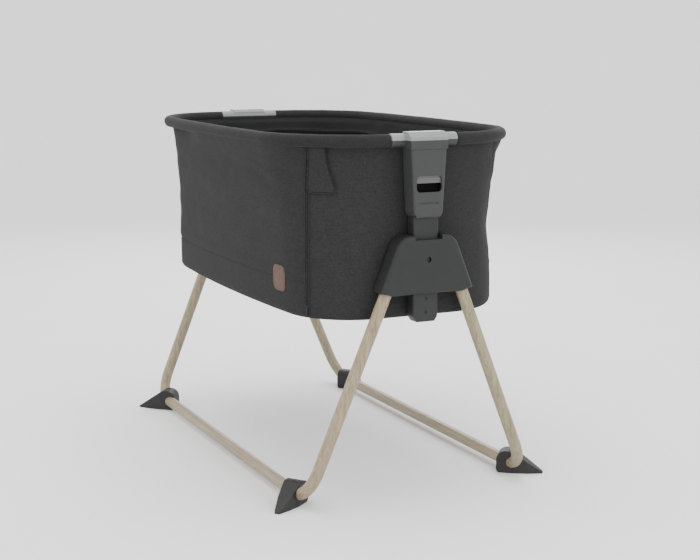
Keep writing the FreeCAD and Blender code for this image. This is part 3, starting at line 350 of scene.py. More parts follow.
M = {
    "shell": fabric("shell_fabric", (0.0258, 0.0258, 0.0262), bump=0.00028),
    "rim": fabric("rim_fabric", (0.0225, 0.0225, 0.0229), pitch=0.0010, sheen=0.05, big=0.08),
    "liner": fabric("liner_fabric", (0.0205, 0.0205, 0.0210), pitch=0.0014, sheen=0.03, melange=0.35),
    "mattress": fabric("mattress_fabric", (0.26, 0.26, 0.255), pitch=0.0016, sheen=0.15, melange=0.12, bump=0.0003),
    "tape": fabric("zip_tape", (0.012, 0.012, 0.0125), pitch=0.0007, sheen=0.1, melange=0.3),
    "thread": fabric("thread", (0.026, 0.026, 0.027), pitch=0.0004, sheen=0.3, melange=0.2, bump=0.00015),
    "binding": fabric("binding", (0.014, 0.014, 0.0145), pitch=0.0008, sheen=0.2, melange=0.25),
    "sleeve": plastic("sleeve_plastic", (0.0370, 0.0374, 0.0382), 0.46),
    "hub": plastic("hub_plastic", (0.0185, 0.0188, 0.0192), 0.50),
    "post": plastic("post_plastic", (0.0205, 0.0208, 0.0212), 0.42),
    "cap": plastic("cap_plastic", (0.215, 0.216, 0.219), 0.40),
    "lever": lever_material("lever_plastic"),
    # near-black plastic of the leg plugs; also the painted shade sheet behind each lever window
    "dark": plastic("dark_plastic", (0.0035, 0.0035, 0.0037), 0.75, spec=0.04),
    "foot": plastic("foot_plastic", (0.0240, 0.0237, 0.0234), 0.52, grain=900.0, bump=0.00014),
    "board": plastic("board_plastic", (0.09, 0.09, 0.092), 0.6),
    "steel": metal("zinc_steel", (0.42, 0.42, 0.43)),
    "black_steel": metal("blackened_steel", (0.045, 0.045, 0.047), 0.42),
    "teeth": plastic("zip_coil", (0.022, 0.022, 0.023), 0.35),
    "wood": wood_tube("wood_look"),
    "leather": leather("tan_leather", (0.070, 0.0235, 0.0090)),
    "stitch_tan": fabric("tan_thread", (0.20, 0.11, 0.06), pitch=0.0004, sheen=0.2, melange=0.2, bump=0.0001),
}


def paint(obj, key):
    obj.data.materials.clear()
    obj.data.materials.append(M[key])
    return obj


def paint_node(name, key):
    o = nodes[name]
    if not o.material_slots:
        o.data.materials.append(M[key])
    for s in o.material_slots:
        s.material = M[key]


for end in ("front", "rear"):
    paint_node(end + "_post", "post")
    paint_node(end + "_hub_cover", "hub")
    paint_node(end + "_hub_back", "hub")
    for k in ("_leg_pins", "_lock_pin", "_lever_spring"):
        paint_node(end + k, "steel")
    for k in ("_hub_screw", "_post_screws"):
        paint_node(end + k, "black_steel")
    paint_node(end + "_sleeve_cover", "sleeve")
    paint_node(end + "_sleeve_back", "sleeve")
    paint_node(end + "_rim_clamp", "sleeve")
    paint_node(end + "_clamp_cap", "cap")
    paint_node(end + "_release_lever", "lever")
for side in ("left", "right"):
    paint_node(side + "_leg_tube", "wood")
    paint_node(side + "_leg_plugs", "dark")
    paint_node(side + "_rim_tube", "steel")
    for end in ("front", "rear"):
        paint_node("%s_%s_foot" % (end, side), "foot")
paint_node("base_board", "board")


# ------------------------------------------------------------------ basket outline
LEVELS = {  # half length, half width, corner radius at each height, in millimetres
    357.0: (441.5, 234.0, 141.0), 430.0: (440.0, 236.0, 145.0), 560.0: (437.0, 243.0, 160.0), 691.0: (443.6, 258.5, 184.0)}
ZS = sorted(LEVELS)
FITS = [np.polyfit(ZS, [LEVELS[z][k] for z in ZS], 3) for k in range(3)]
WALL_R = 4300.0
RIM = (455.0, 265.0, 190.0, 4173.0)
RIM_Z = 705.0


def params(z):
    z = min(max(z, 340.0), 700.0)
    return [float(np.polyval(f, z)) for f in FITS] + [WALL_R]


def corner(p):
    a, b, rc, rs = p
    s = b - rs + math.sqrt((rs - rc) ** 2 - (a - rc) ** 2)
    c2 = np.array([s, -a + rc])
    c3 = np.array([b - rs, 0.0])
    d = (c2 - c3) / np.linalg.norm(c2 - c3)
    return s, c2, c3, d


def outline(p, n_line=8, n_arc=30, n_side=36, off=0.0):
    """Closed loop of (x, y, nx, ny) in mm, starting at the middle of the front end and going to +X."""
    a, b, rc, rs = p
    s, c2, c3, d = corner(p)
    q = []
    for i in range(n_line):
        q.append((s * i / n_line, -a - off, 0.0, -1.0))
    f1 = math.atan2(d[1], d[0])
    for i in range(n_arc):
        f = -math.pi / 2 + (f1 + math.pi / 2) * i / n_arc
        q.append((c2[0] + (rc + off) * math.cos(f), c2[1] + (rc + off) * math.sin(f), math.cos(f), math.sin(f)))
    for i in range(n_side):
        f = f1 * (1 - i / n_side)
        q.append((c3[0] + (rs + off) * math.cos(f), c3[1] + (rs + off) * math.sin(f), math.cos(f), math.sin(f)))
    q.append((b + off, 0.0, 1.0, 0.0))
    right = q + [(x, -y, nx, -ny) for x, y, nx, ny in reversed(q[1:-1])] + [(0.0, a + off, 0.0, 1.0)]
    left = [(-x, y, -nx, ny) for x, y, nx, ny in reversed(right[1:-1])]
    return right + left


def at_x(z, x, sy, off=0.0):
    """Point and normal on the wall where its outline crosses x, in a corner (sy picks the end)."""
    p = params(z)
    a, b, rc, rs = p
    s, c2, c3, d = corner(p)
    sx = -1.0 if x < 0 else 1.0
    c = (abs(x) - s) / rc
    if c <= 0:
        y, n = -a, (0.0, -1.0)
        return (x, (y - off) * -sy * 1.0 if sy > 0 else y - off), (0.0, -1.0 if sy < 0 else 1.0)
    c = min(c, 1.0)
    f = -math.acos(c)
    nx, ny = math.cos(f), math.sin(f)
    px, py = c2[0] + (rc + off) * nx, c2[1] + (rc + off) * ny
    if sy > 0:
        py, ny = -py, -ny
    return (sx * px, py), (sx * nx, ny)


def at_y(z, y, sx, off=0.0):
    p = params(z)
    a, b, rc, rs = p
    s, c2, c3, d = corner(p)
    jy = c2[1] + d[1] * rc
    ay = -abs(y)
    if ay < jy:
        f = math.asin(max(-1.0, (ay - c2[1]) / rc))
        c, r = c2, rc
    else:
        f = math.asin((ay - c3[1]) / rs)
        c, r = c3, rs
    nx, ny = math.cos(f), math.sin(f)
    px, py = c[0] + (r + off) * nx, c[1] + (r + off) * ny
    if y > 0:
        py, ny = -py, -ny
    return (sx * px, py), (sx * nx, ny)


def make(name, verts, faces, key, body="basket", smooth=True):
    me = bpy.data.meshes.new(name)
    me.from_pydata([tuple(v) for v in verts], [], faces)
    me.validate()
    me.update()
    if smooth:
        me.polygons.foreach_set("use_smooth", [True] * len(me.polygons))
    o = bpy.data.objects.new(name, me)
    col.objects.link(o)
    paint(o, key)
    if body:
        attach(o, body)
    return o


def fix_normals(o):
    bm = bmesh.new()
    bm.from_mesh(o.data)
    bmesh.ops.recalc_face_normals(bm, faces=bm.faces)
    bm.to_mesh(o.data)
    bm.free()


def grid_faces(rows, cols, wrap):
    f = []
    w = cols if wrap else cols - 1
    for i in range(rows - 1):
        for j in range(w):
            k = (j + 1) % cols
            f.append((i * cols + j, i * cols + k, (i + 1) * cols + k, (i + 1) * cols + j))
    return f


def solidify(o, t, offset=-1.0):
    m = o.modifiers.new("thick", "SOLIDIFY")
    m.thickness = t
    m.offset = offset
    m.use_even_offset = True
    return m


def subsurf(o, n=1):
    m = o.modifiers.new("sub", "SUBSURF")
    m.levels = m.render_levels = n
    return m


def smooth01(t):
    t = min(max(t, 0.0), 1.0)
    return t * t * (3 - 2 * t)


def wob(x, y, z, s, seed=0.0):
    return noise.noise(Vector((x * s + seed, y * s - seed, z * s + 2.3 * seed)))


# ------------------------------------------------------------------ outer shell of the basket
Z_BASE = 357.0
SEAM = 204.0


def waist(x, y, z, nx, ny):
    """Slow shape of the slack walls, in mm outward: the right side pulls in more below its hanging top edge."""
    side = smooth01((abs(nx) - 0.45) / 0.4)
    g = 0.0
    if x > 0:
        g -= 7.0 * side * math.exp(-((z - 522.0) / 62.0) ** 2)
        g += 3.4 * smooth01((nx - 0.55) / 0.3) * math.exp(-((z - 640.0) / 17.0) ** 2)
    else:
        g -= 1.5 * side * math.exp(-((z - 540.0) / 60.0) ** 2)
    return g


def wrinkle(x, y, z, nx, ny):
    """Soft pulls and puckers of the cloth, in mm outward."""
    side = smooth01((abs(nx) - 0.35) / 0.5)          # the long sides are slacker than the ends
    up = smooth01((z - 436.0) / 50.0) * smooth01((706.0 - z) / 40.0)
    w = waist(x, y, z, nx, ny)
    k = 1.0 if x < 0 else 0.8
    # long slack folds that fall from the rim and run down and along the sides
    w += side * k * 2.6 * wob(y * 0.50 - z * 0.35, z * 1.6 + y * 0.25, 0, 0.0095, 3.1) * up
    w += side * k * 1.1 * wob(y * 0.8 + z * 0.5, z * 1.5, 0, 0.024, 9.7) * up
    # two shallow drag lines from the corner seam under the rim, dying out along the side
    for (za, slope, amp, wid) in ((652.0, 0.10, 1.5, 7.0), (618.0, 0.16, 1.9, 9.0), (560.0, -0.10, 1.0, 11.0)):
        d = y + 387.0
        zl = za + slope * d
        w += side * k * amp * math.exp(-((z - zl) / wid) ** 2) * math.exp(-(d / 190.0) ** 2)
    w += (1 - side) * 0.5 * wob(x, z * 0.7, y, 0.02, 5.5) * up
    # faint gathers just under the rim
    w += 0.22 * math.sin((x - y) * 0.13 + 3.5 * wob(x, y, 0, 0.02, 1.0)) * smooth01((z - 668.0) / 22.0) * (0.4 + 0.6 * side)
    # pucker either side of the corner seams
    d = abs(abs(x) - SEAM)
    if d < 26:
        w += -0.7 * math.exp(-(d / 5.0) ** 2) + 0.25 * math.sin(z * 0.33) * math.exp(-((d - 8) / 5.0) ** 2)
    return w


def resample(p, off, n, which):
    """Points along one panel's edge at a level: which is front, right, rear or left; seams at |x| = SEAM."""
    loop = outline(p, 10, 40, 60, off)
    if which in ("front", "right"):
        q = np.array(loop[:len(loop) // 2 + 1])
    else:
        q = np.array(loop[len(loop) // 2:] + [loop[0]])
    d = np.concatenate([[0], np.cumsum(np.hypot(np.diff(q[:, 0]), np.diff(q[:, 1])))])
    x = np.abs(q[:, 0])
    top = int(np.argmax(x))
    s0 = float(np.interp(SEAM, x[:top + 1], d[:top + 1]))
    s1 = float(np.interp(-SEAM, -x[top:], d[top:]))
    if which in ("right", "left"):
        t = np.linspace(s0, s1, n)
        out = np.stack([np.interp(t, d, q[:, k]) for k in range(4)], 1)
    else:
        t = np.linspace(0.0, s0 if which == "front" else d[-1] - (d[-1] - s0), n // 2 + 1)
        if which == "front":
            h = np.stack([np.interp(t, d, q[:, k]) for k in range(4)], 1)
            m = h[::-1].copy()
            m[:, 0] *= -1
            m[:, 2] *= -1
            out = np.concatenate([m, h[1:]])
        else:
            t = np.linspace(0.0, s0, n // 2 + 1)
            h = np.stack([np.interp(t, d, q[:, k]) for k in range(4)], 1)
            m = h.copy()
            m[:, 0] *= -1
            m[:, 2] *= -1
            out = np.concatenate([h[::-1], m[1:]])
    ln = np.hypot(out[:, 2], out[:, 3])
    out[:, 2] /= ln
    out[:, 3] /= ln
    return out


def merge_amount(y):
    """How far the side wall's cloth wraps up over the roll instead of tucking under it."""
    return smooth01((y + 392.0) / 60.0) * smooth01((190.0 - y) / 150.0)


def build_wall(which, n):
    rows = []
    rim = resample(RIM, 0.0, n, which)
    side = which in ("left", "right")
    zs = [690.5, 688.0, 685.0] + list(np.linspace(681.0, 444.0, 58)) + \
        [440.0, 437.0, 434.5, 432.6, 431.2, 430.0, 428.8, 427.4, 425.5, 422.5, 418.0] + list(np.linspace(412.0, 372.0, 8))
    for t in (0.0, 0.5, 1.0):
        row = []
        base = resample(params(690.0), 0.0, n, which)
        for c, r in zip(base, rim):
            m = merge_amount(c[1]) if side else 0.0
            to = Vector((c[0] - r[0], c[1] - r[1], 686.0 - RIM_Z))
            to.normalize()
            out = Vector((r[2], r[3], -0.75 - 0.5 * t)).normalized()
            to = (to * (1 - m) + out * m).normalized()
            q = Vector((r[0], r[1], RIM_Z)) + to * (11.2 + 0.9 * t + 0.5 * m)
            row.append((q.x, q.y, q.z))
        rows.append(row)
    for z in zs:
        row = []
        for c in resample(params(z), 0.0, n, which):
            w = wrinkle(c[0], c[1], z, c[2], c[3])
            if side:
                m = merge_amount(c[1])
                k = smooth01((z - 628.0) / 66.0)
                w += m * 13.0 * k * k
                # the stiff base band stands a little proud of the slack cloth above it
                f = smooth01((abs(c[2]) - 0.55) / 0.35)
                w += f * (1.5 * math.exp(-((z - 444.0) / 10.0) ** 2) - 0.8 * math.exp(-((z - 430.6) / 2.1) ** 2)
                          + 0.45 * smooth01((429.5 - z) / 2.5))
            row.append((c[0] + c[2] * w, c[1] + c[3] * w, z))
        rows.append(row)
    r = 13.0
    for i in range(1, 7):
        f = math.radians(78.0) * i / 6
        z = Z_BASE + 2.0 + r - r * math.sin(f)
        off = -r + r * math.cos(f)
        row = []
        for c in resample(params(Z_BASE + 5.0), 0.0, n, which):
            w = off + 0.2 * wob(c[0], c[1], z, 0.03)
            row.append((c[0] + c[2] * w, c[1] + c[3] * w, z))
        rows.append(row)
    cols = len(rows[0])
    verts = [(x / 1000, y / 1000, z / 1000) for row in rows for x, y, z in row]
    o = make("basket_%s_wall" % which, verts, grid_faces(len(rows), cols, False), "shell")
    fix_normals(o)
    # outside faces point away from the basket
    c = o.data.polygons[len(o.data.polygons) // 2]
    ctr = Vector((c.center.x, c.center.y, 0))
    if c.normal.dot(ctr) < 0:
        o.data.flip_normals()
    solidify(o, 0.0016)
    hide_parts(which + "_wall")
    return o


def build_bottom():
    r = 13.0
    rows = []
    for i in (5, 6, 7, 8):
        f = math.radians(78.0) * i / 6 if i < 7 else math.radians(84.0 if i == 7 else 90.0)
        z = Z_BASE + 2.3 + r - r * math.sin(f)
        off = -r + r * math.cos(f) - 0.4
        rows.append([(x + nx * off, y + ny * off, z) for x, y, nx, ny in outline(params(Z_BASE + 5.0), 8, 24, 40)])
    last = rows[-1]
    for k in (0.97, 0.9, 0.8, 0.68, 0.55, 0.42, 0.3, 0.18, 0.07):
        rows.append([(x * k, y * k, Z_BASE + 2.3 + 1.1 * wob(x * k, y * k, 0, 0.008, 4.0) * (1 - k)) for x, y, _ in last])
    cols = len(last)
    verts = [(x / 1000, y / 1000, z / 1000) for row in rows for x, y, z in row]
    faces = grid_faces(len(rows), cols, True)
    verts.append((0, 0, (Z_BASE + 2.3) / 1000))
    b = (len(rows) - 1) * cols
    faces += [(b + j, b + (j + 1) % cols, len(verts) - 1) for j in range(cols)]
    o = make("basket_bottom", verts, faces, "shell")
    fix_normals(o)
    if o.data.polygons[len(o.data.polygons) - 1].normal.z > 0:
        o.data.flip_normals()
    solidify(o, 0.0016)
    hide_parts("bottom_panel")
    return o


walls = {"left": build_wall("left", 240), "right": build_wall("right", 240),
         "front": build_wall("front", 120), "rear": build_wall("rear", 120)}
bottom = build_bottom()


# ------------------------------------------------------------------ lining
def build_liner():
    rim_loop = outline(RIM)
    rows = []
    base = outline(params(690.0))
    for t in (0.0, 1.0):
        row = []
        for c, r in zip(base, rim_loop):
            q = Vector((r[0] - c[2] * 9.5, r[1] - c[3] * 9.5, RIM_Z - 5.0 - 4.0 * t))
            row.append((q.x - c[2] * 2.0 * t, q.y - c[3] * 2.0 * t, q.z))
        rows.append(row)

    def fold(x, y, z, nx, ny):
        # the lining hangs in soft waves from a hem below the rim and is pulled smooth lower down
        u = x * 1.0 - y * 1.0
        amp = smooth01((700 - z) / 25.0) * (0.3 + 0.7 * smooth01((z - 480.0) / 160.0))
        w = 1.6 * wob(x, y, z * 0.55, 0.017, 2.0) * amp
        w += 0.9 * math.sin(u * 0.055 + 3.0 * wob(x, y, 0, 0.006, 7.0)) * amp
        hem = 668.0 + 9.0 * wob(x, y, 0, 0.0065, 11.0)
        w += 2.6 * math.exp(-((z - hem) / 3.4) ** 2) - 1.6 * math.exp(-((z - hem + 7.5) / 2.4) ** 2)
        hem2 = 646.0 + 12.0 * wob(x, y, 0, 0.006, 4.0)
        w += 1.9 * math.exp(-((z - hem2) / 3.0) ** 2) - 1.3 * math.exp(-((z - hem2 + 6.5) / 2.2) ** 2)
        return w

    zs = [690.0, 686.0, 682.0, 678.0] + list(np.linspace(674.0, 646.0, 15)) + list(np.linspace(640.0, 370.0, 42))
    for z in zs:
        row = []
        for c in outline(params(z)):
            w = -(7.0 + fold(c[0], c[1], z, c[2], c[3])) + waist(c[0], c[1], z, c[2], c[3])
            row.append((c[0] + c[2] * w, c[1] + c[3] * w, z))
        rows.append(row)
    verts = [(x / 1000, y / 1000, z / 1000) for row in rows for x, y, z in row]
    o = make("basket_liner", verts, grid_faces(len(rows), len(rows[0]), True), "liner")
    fix_normals(o)
    solidify(o, 0.0012, 0.0)
    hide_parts("liner")
    return o


liner = build_liner()


# ------------------------------------------------------------------ padded rim roll
def build_rim(side):
    sx = -1.0 if side == "left" else 1.0
    start = 70.9
    loop = outline(RIM, 14, 44, 60)
    half = [c for c in loop if c[0] >= start - 1e-6]
    half.sort(key=lambda c: (c[1]))
    # order from the front clamp round the side to the rear clamp
    front = [c for c in loop[:len(loop) // 2 + 1] if c[0] >= start]
    s, c2, c3, d = corner(RIM)
    f = math.asin((start - s) / RIM[2]) if start > s else 0.0
    y0 = -RIM[0] + RIM[2] * (1 - math.cos(f))
    p0 = (start, y0, math.sin(f), -math.cos(f))
    path = [p0] + front + [(start, -y0, math.sin(f), math.cos(f))]
    path = [path[0]] + [c for c in path[1:-1] if c[0] > start + 0.8] + [path[-1]]
    n = 28
    rows = []
    length = 0.0
    for i, c in enumerate(path):
        if i:
            length += math.hypot(c[0] - path[i - 1][0], c[1] - path[i - 1][1])
        t_end = min(i, len(path) - 1 - i)
        row = []
        for k in range(n):
            a = 2 * math.pi * k / n
            out, up = math.cos(a), math.sin(a)
            r = 12.05
            # stitched channel under the roll, where roll and wall are joined
            dn = abs(math.atan2(math.sin(a + 1.95), math.cos(a + 1.95)))
            r -= 0.9 * math.exp(-(dn / 0.16) ** 2)
            r += 0.32 * wob(c[0], c[1], k * 4.0, 0.03, 6.0) + 0.22 * wob(c[0], c[1], k * 9.0, 0.11, 2.0)
            if t_end == 0:
                r = 10.6
            elif t_end == 1:
                r = min(r, 11.8)
            row.append((sx * (c[0] + c[2] * out * r), c[1] + c[3] * out * r, RIM_Z + up * r))
        rows.append(row)
    verts = [(x / 1000, y / 1000, z / 1000) for row in rows for x, y, z in row]
    faces = grid_faces(len(rows), n, True)
    faces.append(tuple(range(n)))
    faces.append(tuple((len(rows) - 1) * n + k for k in range(n)))
    o = make(side + "_rim_roll", verts, faces, "rim")
    fix_normals(o)
    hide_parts(side + "_rim_cover")
    return o


rims = [build_rim("left"), build_rim("right")]


# ------------------------------------------------------------------ seams, zips, flaps, tag
def capsule_rows(points, normals, tangents, length, radius, lift):
    """Short thread stitches lying along tangents."""
    verts, faces = [], []
    ring, segs = 6, ((-0.5, 0.35), (-0.38, 0.9), (0.0, 1.0), (0.38, 0.9), (0.5, 0.35))
    for p, n, t in zip(points, normals, tangents):
        p, n, t = Vector(p), Vector(n).normalized(), Vector(t).normalized()
        b = n.cross(t)
        base = len(verts)
        for u, k in segs:
            c = p + t * (u * length) + n * (lift - (abs(u) * 1.1) ** 2 * radius * 1.2)
            for j in range(ring):
                a = 2 * math.pi * j / ring
                verts.append(c + (n * math.sin(a) + b * math.cos(a)) * radius * k)
        for i in range(len(segs) - 1):
            for j in range(ring):
                k = (j + 1) % ring
                faces.append((base + i * ring + j, base + i * ring + k, base + (i + 1) * ring + k, base + (i + 1) * ring + j))
        faces.append(tuple(base + j for j in reversed(range(ring))))
        faces.append(tuple(base + (len(segs) - 1) * ring + j for j in range(ring)))
    return verts, faces


def seam_frame(x, sy, z):
    (px, py), (nx, ny) = at_x(z, x, sy)
    w = wrinkle(px, py, z, nx, ny)
    return Vector((px + nx * w, py + ny * w, z)), Vector((nx, ny, 0)), Vector((-ny, nx, 0))


def strip(name, x, sy, z0, z1, width, lift, thick, key, rows=90, bow=0.0, cols=7):
    verts = []
    for i in range(rows):
        z = z0 + (z1 - z0) * i / (rows - 1)
        p, n, t = seam_frame(x, sy, z)
        for j in range(cols):
            u = (j / (cols - 1) - 0.5) * 2
            h = lift + bow * (1 - u * u) - 0.5 * (abs(u) ** 6)
            q = p + t * (u * width / 2) + n * (h - (u * width / 2) ** 2 / (2 * 150.0))
            verts.append(q / 1000)
    o = make(name, verts, grid_faces(rows, cols, False), key)
    fix_normals(o)
    solidify(o, thick / 1000, 0.0)
    return o


for sx in (-1, 1):
    for sy in (-1, 1):
        tag = ("front" if sy < 0 else "rear") + ("_left" if sx < 0 else "_right")
        zip_side = sx < 0
        x = sx * SEAM
        if zip_side:
            end = "front" if sy < 0 else "rear"
            tape = strip(end + "_zip_tape", x, sy, 372.0, 690.0, 10.5, 0.7, 0.7, "tape")
            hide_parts("left_%s_zip" % end)
            # two cloth edges folded back either side of the coil
            for k, dx in enumerate((-4.6, 4.6)):
                pts = []
                rows = 100
                for i in range(rows):
                    z = 370.0 + (690.0 - 370.0) * i / (rows - 1)
                    p, n, t = seam_frame(x, sy, z)
                    for j in range(8):
                        a = 2 * math.pi * j / 8
                        pts.append((p + t * (dx + 1.7 * math.cos(a)) + n * (1.2 + 0.75 * math.sin(a)
                                                                           + 0.1 * math.sin(z * 0.7))) / 1000)
                f = grid_faces(rows, 8, True) + [tuple(range(8)), tuple((rows - 1) * 8 + j for j in range(8))]
                e = make("%s_zip_edge_%d" % (end, k), pts, f, "shell")
                fix_normals(e)
            P, N, T = [], [], []
            z = 376.0
            i = 0
            while z < 686.0:
                p, n, t = seam_frame(x, sy, z)
                sgn = 1 if i % 2 else -1
                P.append((p + t * sgn * 0.55 + n * 1.35) / 1000)
                N.append(n)
                T.append(t + Vector((0, 0, 0.25 * sgn)))
                z += 1.45
                i += 1
            v, f = capsule_rows(P, N, T, 0.0030, 0.00062, 0.0)
            coil = make(end + "_zip_coil", v, f, "teeth")
            # slider and pull at the lower end
            p, n, t = seam_frame(x, sy, 381.0)
            zax = Vector((0, 0, 1))
            bm = bmesh.new()
            def block(cx, cz, lift, w, h, d, taper=1.0):
                res = bmesh.ops.create_cube(bm, size=1.0)
                for vtx in res["verts"]:
                    k = taper if vtx.co.z < 0 else 1.0
                    q = p + t * (cx + vtx.co.x * w * k) + n * (lift + vtx.co.y * d) + zax * (cz + vtx.co.z * h)
                    vtx.co = q / 1000
            block(0, 0, 2.4, 7.0, 9.0, 1.4, 0.7)
            block(0, 1.0, 3.6, 2.6, 6.0, 1.2)
            block(0, -9.5, 3.3, 4.6, 15.0, 1.1, 0.8)
            bmesh.ops.bevel(bm, geom=list(bm.edges), offset=0.00035, segments=2, affect="EDGES")
            me = bpy.data.meshes.new(end + "_zip_slider")
            bm.to_mesh(me)
            bm.free()
            sl = bpy.data.objects.new(end + "_zip_slider", me)
            col.objects.link(sl)
            paint(sl, "teeth")
            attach(sl, "basket")
        else:
            s_ = strip(tag + "_seam", x, sy, 371.0, 690.0, 5.0, 0.45, 0.8, "shell", bow=0.35)
        # two rows of stitches beside every corner seam
        for k, dx in enumerate((-8.2, 8.2) if zip_side else (-1.4, 4.6)):
            P, N, T = [], [], []
            z = 376.0
            while z < 686.0:
                p, n, t = seam_frame(x, sy, z)
                P.append((p + t * dx) / 1000 - n * (dx * dx / 300.0) / 1000)
                N.append(n)
                T.append(Vector((0, 0, 1)))
                z += 4.2
            v, f = capsule_rows(P, N, T, 0.0030, 0.00042, 0.0006)
            st = make("%s_stitches_%d" % (tag, k), v, f, "thread")


def flap(end):
    """Short cloth flap that hangs from the rim beside the zip."""
    sy = -1 if end == "front" else 1
    x0, x1 = -202.0, -176.5
    rows, cols = 46, 20
    verts = []
    for i in range(rows):
        t = i / (rows - 1)
        z = 696.0 - 90.0 * t
        for j in range(cols):
            u = j / (cols - 1)
            x = x0 + (x1 - x0) * u + (20.0 * t ** 1.6 - 3.0) * u
            # rounded lower corners
            zz = z
            if t > 0.86:
                e = (t - 0.86) / 0.14
                shrink = 1 - math.sqrt(max(0.0, 1 - e * e)) if e < 1 else 1.0
                x = x + (0.5 - u) * 2 * 5.0 * shrink
            zc = min(zz, 690.0)
            (px, py), (nx, ny) = at_x(zc, x, sy)
            lift = 2.6 + 2.4 * u * t + 1.0 * math.sin(math.pi * min(t * 1.15, 1.0)) + 0.7 * wob(x, zz, 0, 0.05, 3.0)
            lift += 4.6 * smooth01((zz - 668.0) / 24.0)
            verts.append(((px + nx * lift) / 1000, (py + ny * lift) / 1000, zz / 1000))
    o = make(end + "_corner_flap", verts, grid_faces(rows, cols, False), "shell")
    fix_normals(o)
    solidify(o, 0.0014, 0.0)
    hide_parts("left_%s_flap" % end)
    # bound edge
    edge = [i * cols + (cols - 1) for i in range(rows)] + [(rows - 1) * cols + j for j in reversed(range(cols))]
    edge += [i * cols for i in reversed(range(rows))]
    pts = [Vector(verts[k]) for k in edge]
    ring = []
    n = 8
    for i, p in enumerate(pts):
        a = pts[min(i + 1, len(pts) - 1)] - pts[max(i - 1, 0)]
        if a.length < 1e-9:
            a = Vector((0, 0, 1))
        a.normalize()
        (qx, qy), (nx, ny) = at_x(min(p.z * 1000, 690.0), min(p.x * 1000, -120.0), sy)
        nn = Vector((nx, ny, 0))
        b = a.cross(nn).normalized()
        for k in range(n):
            g = 2 * math.pi * k / n
            ring.append(p + b * (0.0017 * math.cos(g)) + nn * (0.00125 * math.sin(g)))
    f = grid_faces(len(pts), n, True) + [tuple(range(n)), tuple((len(pts) - 1) * n + k for k in range(n))]
    e = make(end + "_flap_binding", ring, f, "binding")
    fix_normals(e)
    return o


flaps = [flap("front"), flap("rear")]


def leather_tag():
    lo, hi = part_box("leather_tag")
    yc, zc = (lo.y + hi.y) * 500.0, (lo.z + hi.z) * 500.0
    h = (hi.z - lo.z) * 500.0
    n = 40

    def point(u, v, lift):
        y, z = yc + u, zc + v
        (px, py), (nx, ny) = at_y(z, y, -1.0)
        w = wrinkle(px, py, z, nx, ny) + lift
        return Vector((px + nx * w, py + ny * w, z)) / 1000, Vector((nx, ny, 0))

    def squircle(r, a):
        c, s = math.cos(a), math.sin(a)
        k = (abs(c) ** 4 + abs(s) ** 4) ** (-0.25)
        return r * k * c, r * k * s

    verts, faces = [], []
    seg = 72
    prof = [(0.0, 2.0), (0.25, 2.0), (0.5, 2.0), (0.70, 1.98), (0.80, 1.93), (0.845, 1.62), (0.885, 1.93), (0.94, 1.92),
            (0.985, 1.6), (1.0, 1.1), (0.99, 0.5)]
    verts.append(point(0, 0, 2.0)[0])
    for r, lift in prof[1:]:
        for j in range(seg):
            u, v = squircle(h * r, 2 * math.pi * j / seg)
            verts.append(point(u, v, lift + 0.06 * wob(u, v, 0, 0.2))[0])
    for j in range(seg):
        faces.append((0, 1 + j, 1 + (j + 1) % seg))
    for i in range(len(prof) - 2):
        for j in range(seg):
            k = (j + 1) % seg
            a, b = 1 + i * seg, 1 + (i + 1) * seg
            faces.append((a + j, b + j, b + k, a + k))
    last = 1 + (len(prof) - 2) * seg
    faces.append(tuple(last + j for j in reversed(range(seg))))
    o = make("leather_tag_patch", verts, faces, "leather")
    fix_normals(o)
    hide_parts("leather_tag")
    P, N, T = [], [], []
    m = 44
    for j in range(m):
        a = 2 * math.pi * j / m
        u, v = squircle(h * 0.845, a)
        u2, v2 = squircle(h * 0.845, a + 0.03)
        p, nn = point(u, v, 1.75)
        p2, _ = point(u2, v2, 1.75)
        P.append(p)
        N.append(nn)
        T.append(p2 - p)
    v, f = capsule_rows(P, N, T, 0.0021, 0.00033, 0.0002)
    s = make("leather_tag_stitches", v, f, "stitch_tan")
    return o


leather_tag()


def recess_shade_sheet(end):
    """Thin dark sheet behind the grip bar: painted shade, so that the recess reads as a closed, shadowed hollow."""
    sy = -1.0 if end == "front" else 1.0
    bm = bmesh.new()
    nx, nz = 14, 8
    y0, t, hx, z0, z1 = 474.12, 0.22, 26.2, 604.5, 640.5
    grid = []
    for lay in (0, 1):
        for j in range(nz + 1):
            for i in range(nx + 1):
                u, v = i / nx, j / nz
                x = -hx + 2 * hx * u
                z = z0 + (z1 - z0) * v
                grid.append(bm.verts.new((x / 1000, sy * (y0 + lay * t) / 1000, z / 1000)))
    w = nx + 1
    m = w * (nz + 1)
    for j in range(nz):
        for i in range(nx):
            a = j * w + i
            bm.faces.new([grid[k] for k in (a, a + 1, a + 1 + w, a + w)])
            bm.faces.new([grid[m + k] for k in (a, a + w, a + 1 + w, a + 1)])
    edge = [i for i in range(w)] + [j * w + nx for j in range(1, nz + 1)] + \
           [nz * w + i for i in reversed(range(nx))] + [j * w for j in reversed(range(1, nz))]
    for i, a in enumerate(edge):
        b = edge[(i + 1) % len(edge)]
        bm.faces.new([grid[a], grid[b], grid[m + b], grid[m + a]])
    bmesh.ops.recalc_face_normals(bm, faces=bm.faces)
    me = bpy.data.meshes.new(end + "_recess_shade_sheet")
    bm.to_mesh(me)
    bm.free()
    o = bpy.data.objects.new(end + "_recess_shade_sheet", me)
    col.objects.link(o)
    # the near-black plastic on this sheet is painted shade inside the lever window
    paint(o, "dark")
    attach(o, "basket")


recess_shade_sheet("front")
recess_shade_sheet("rear")


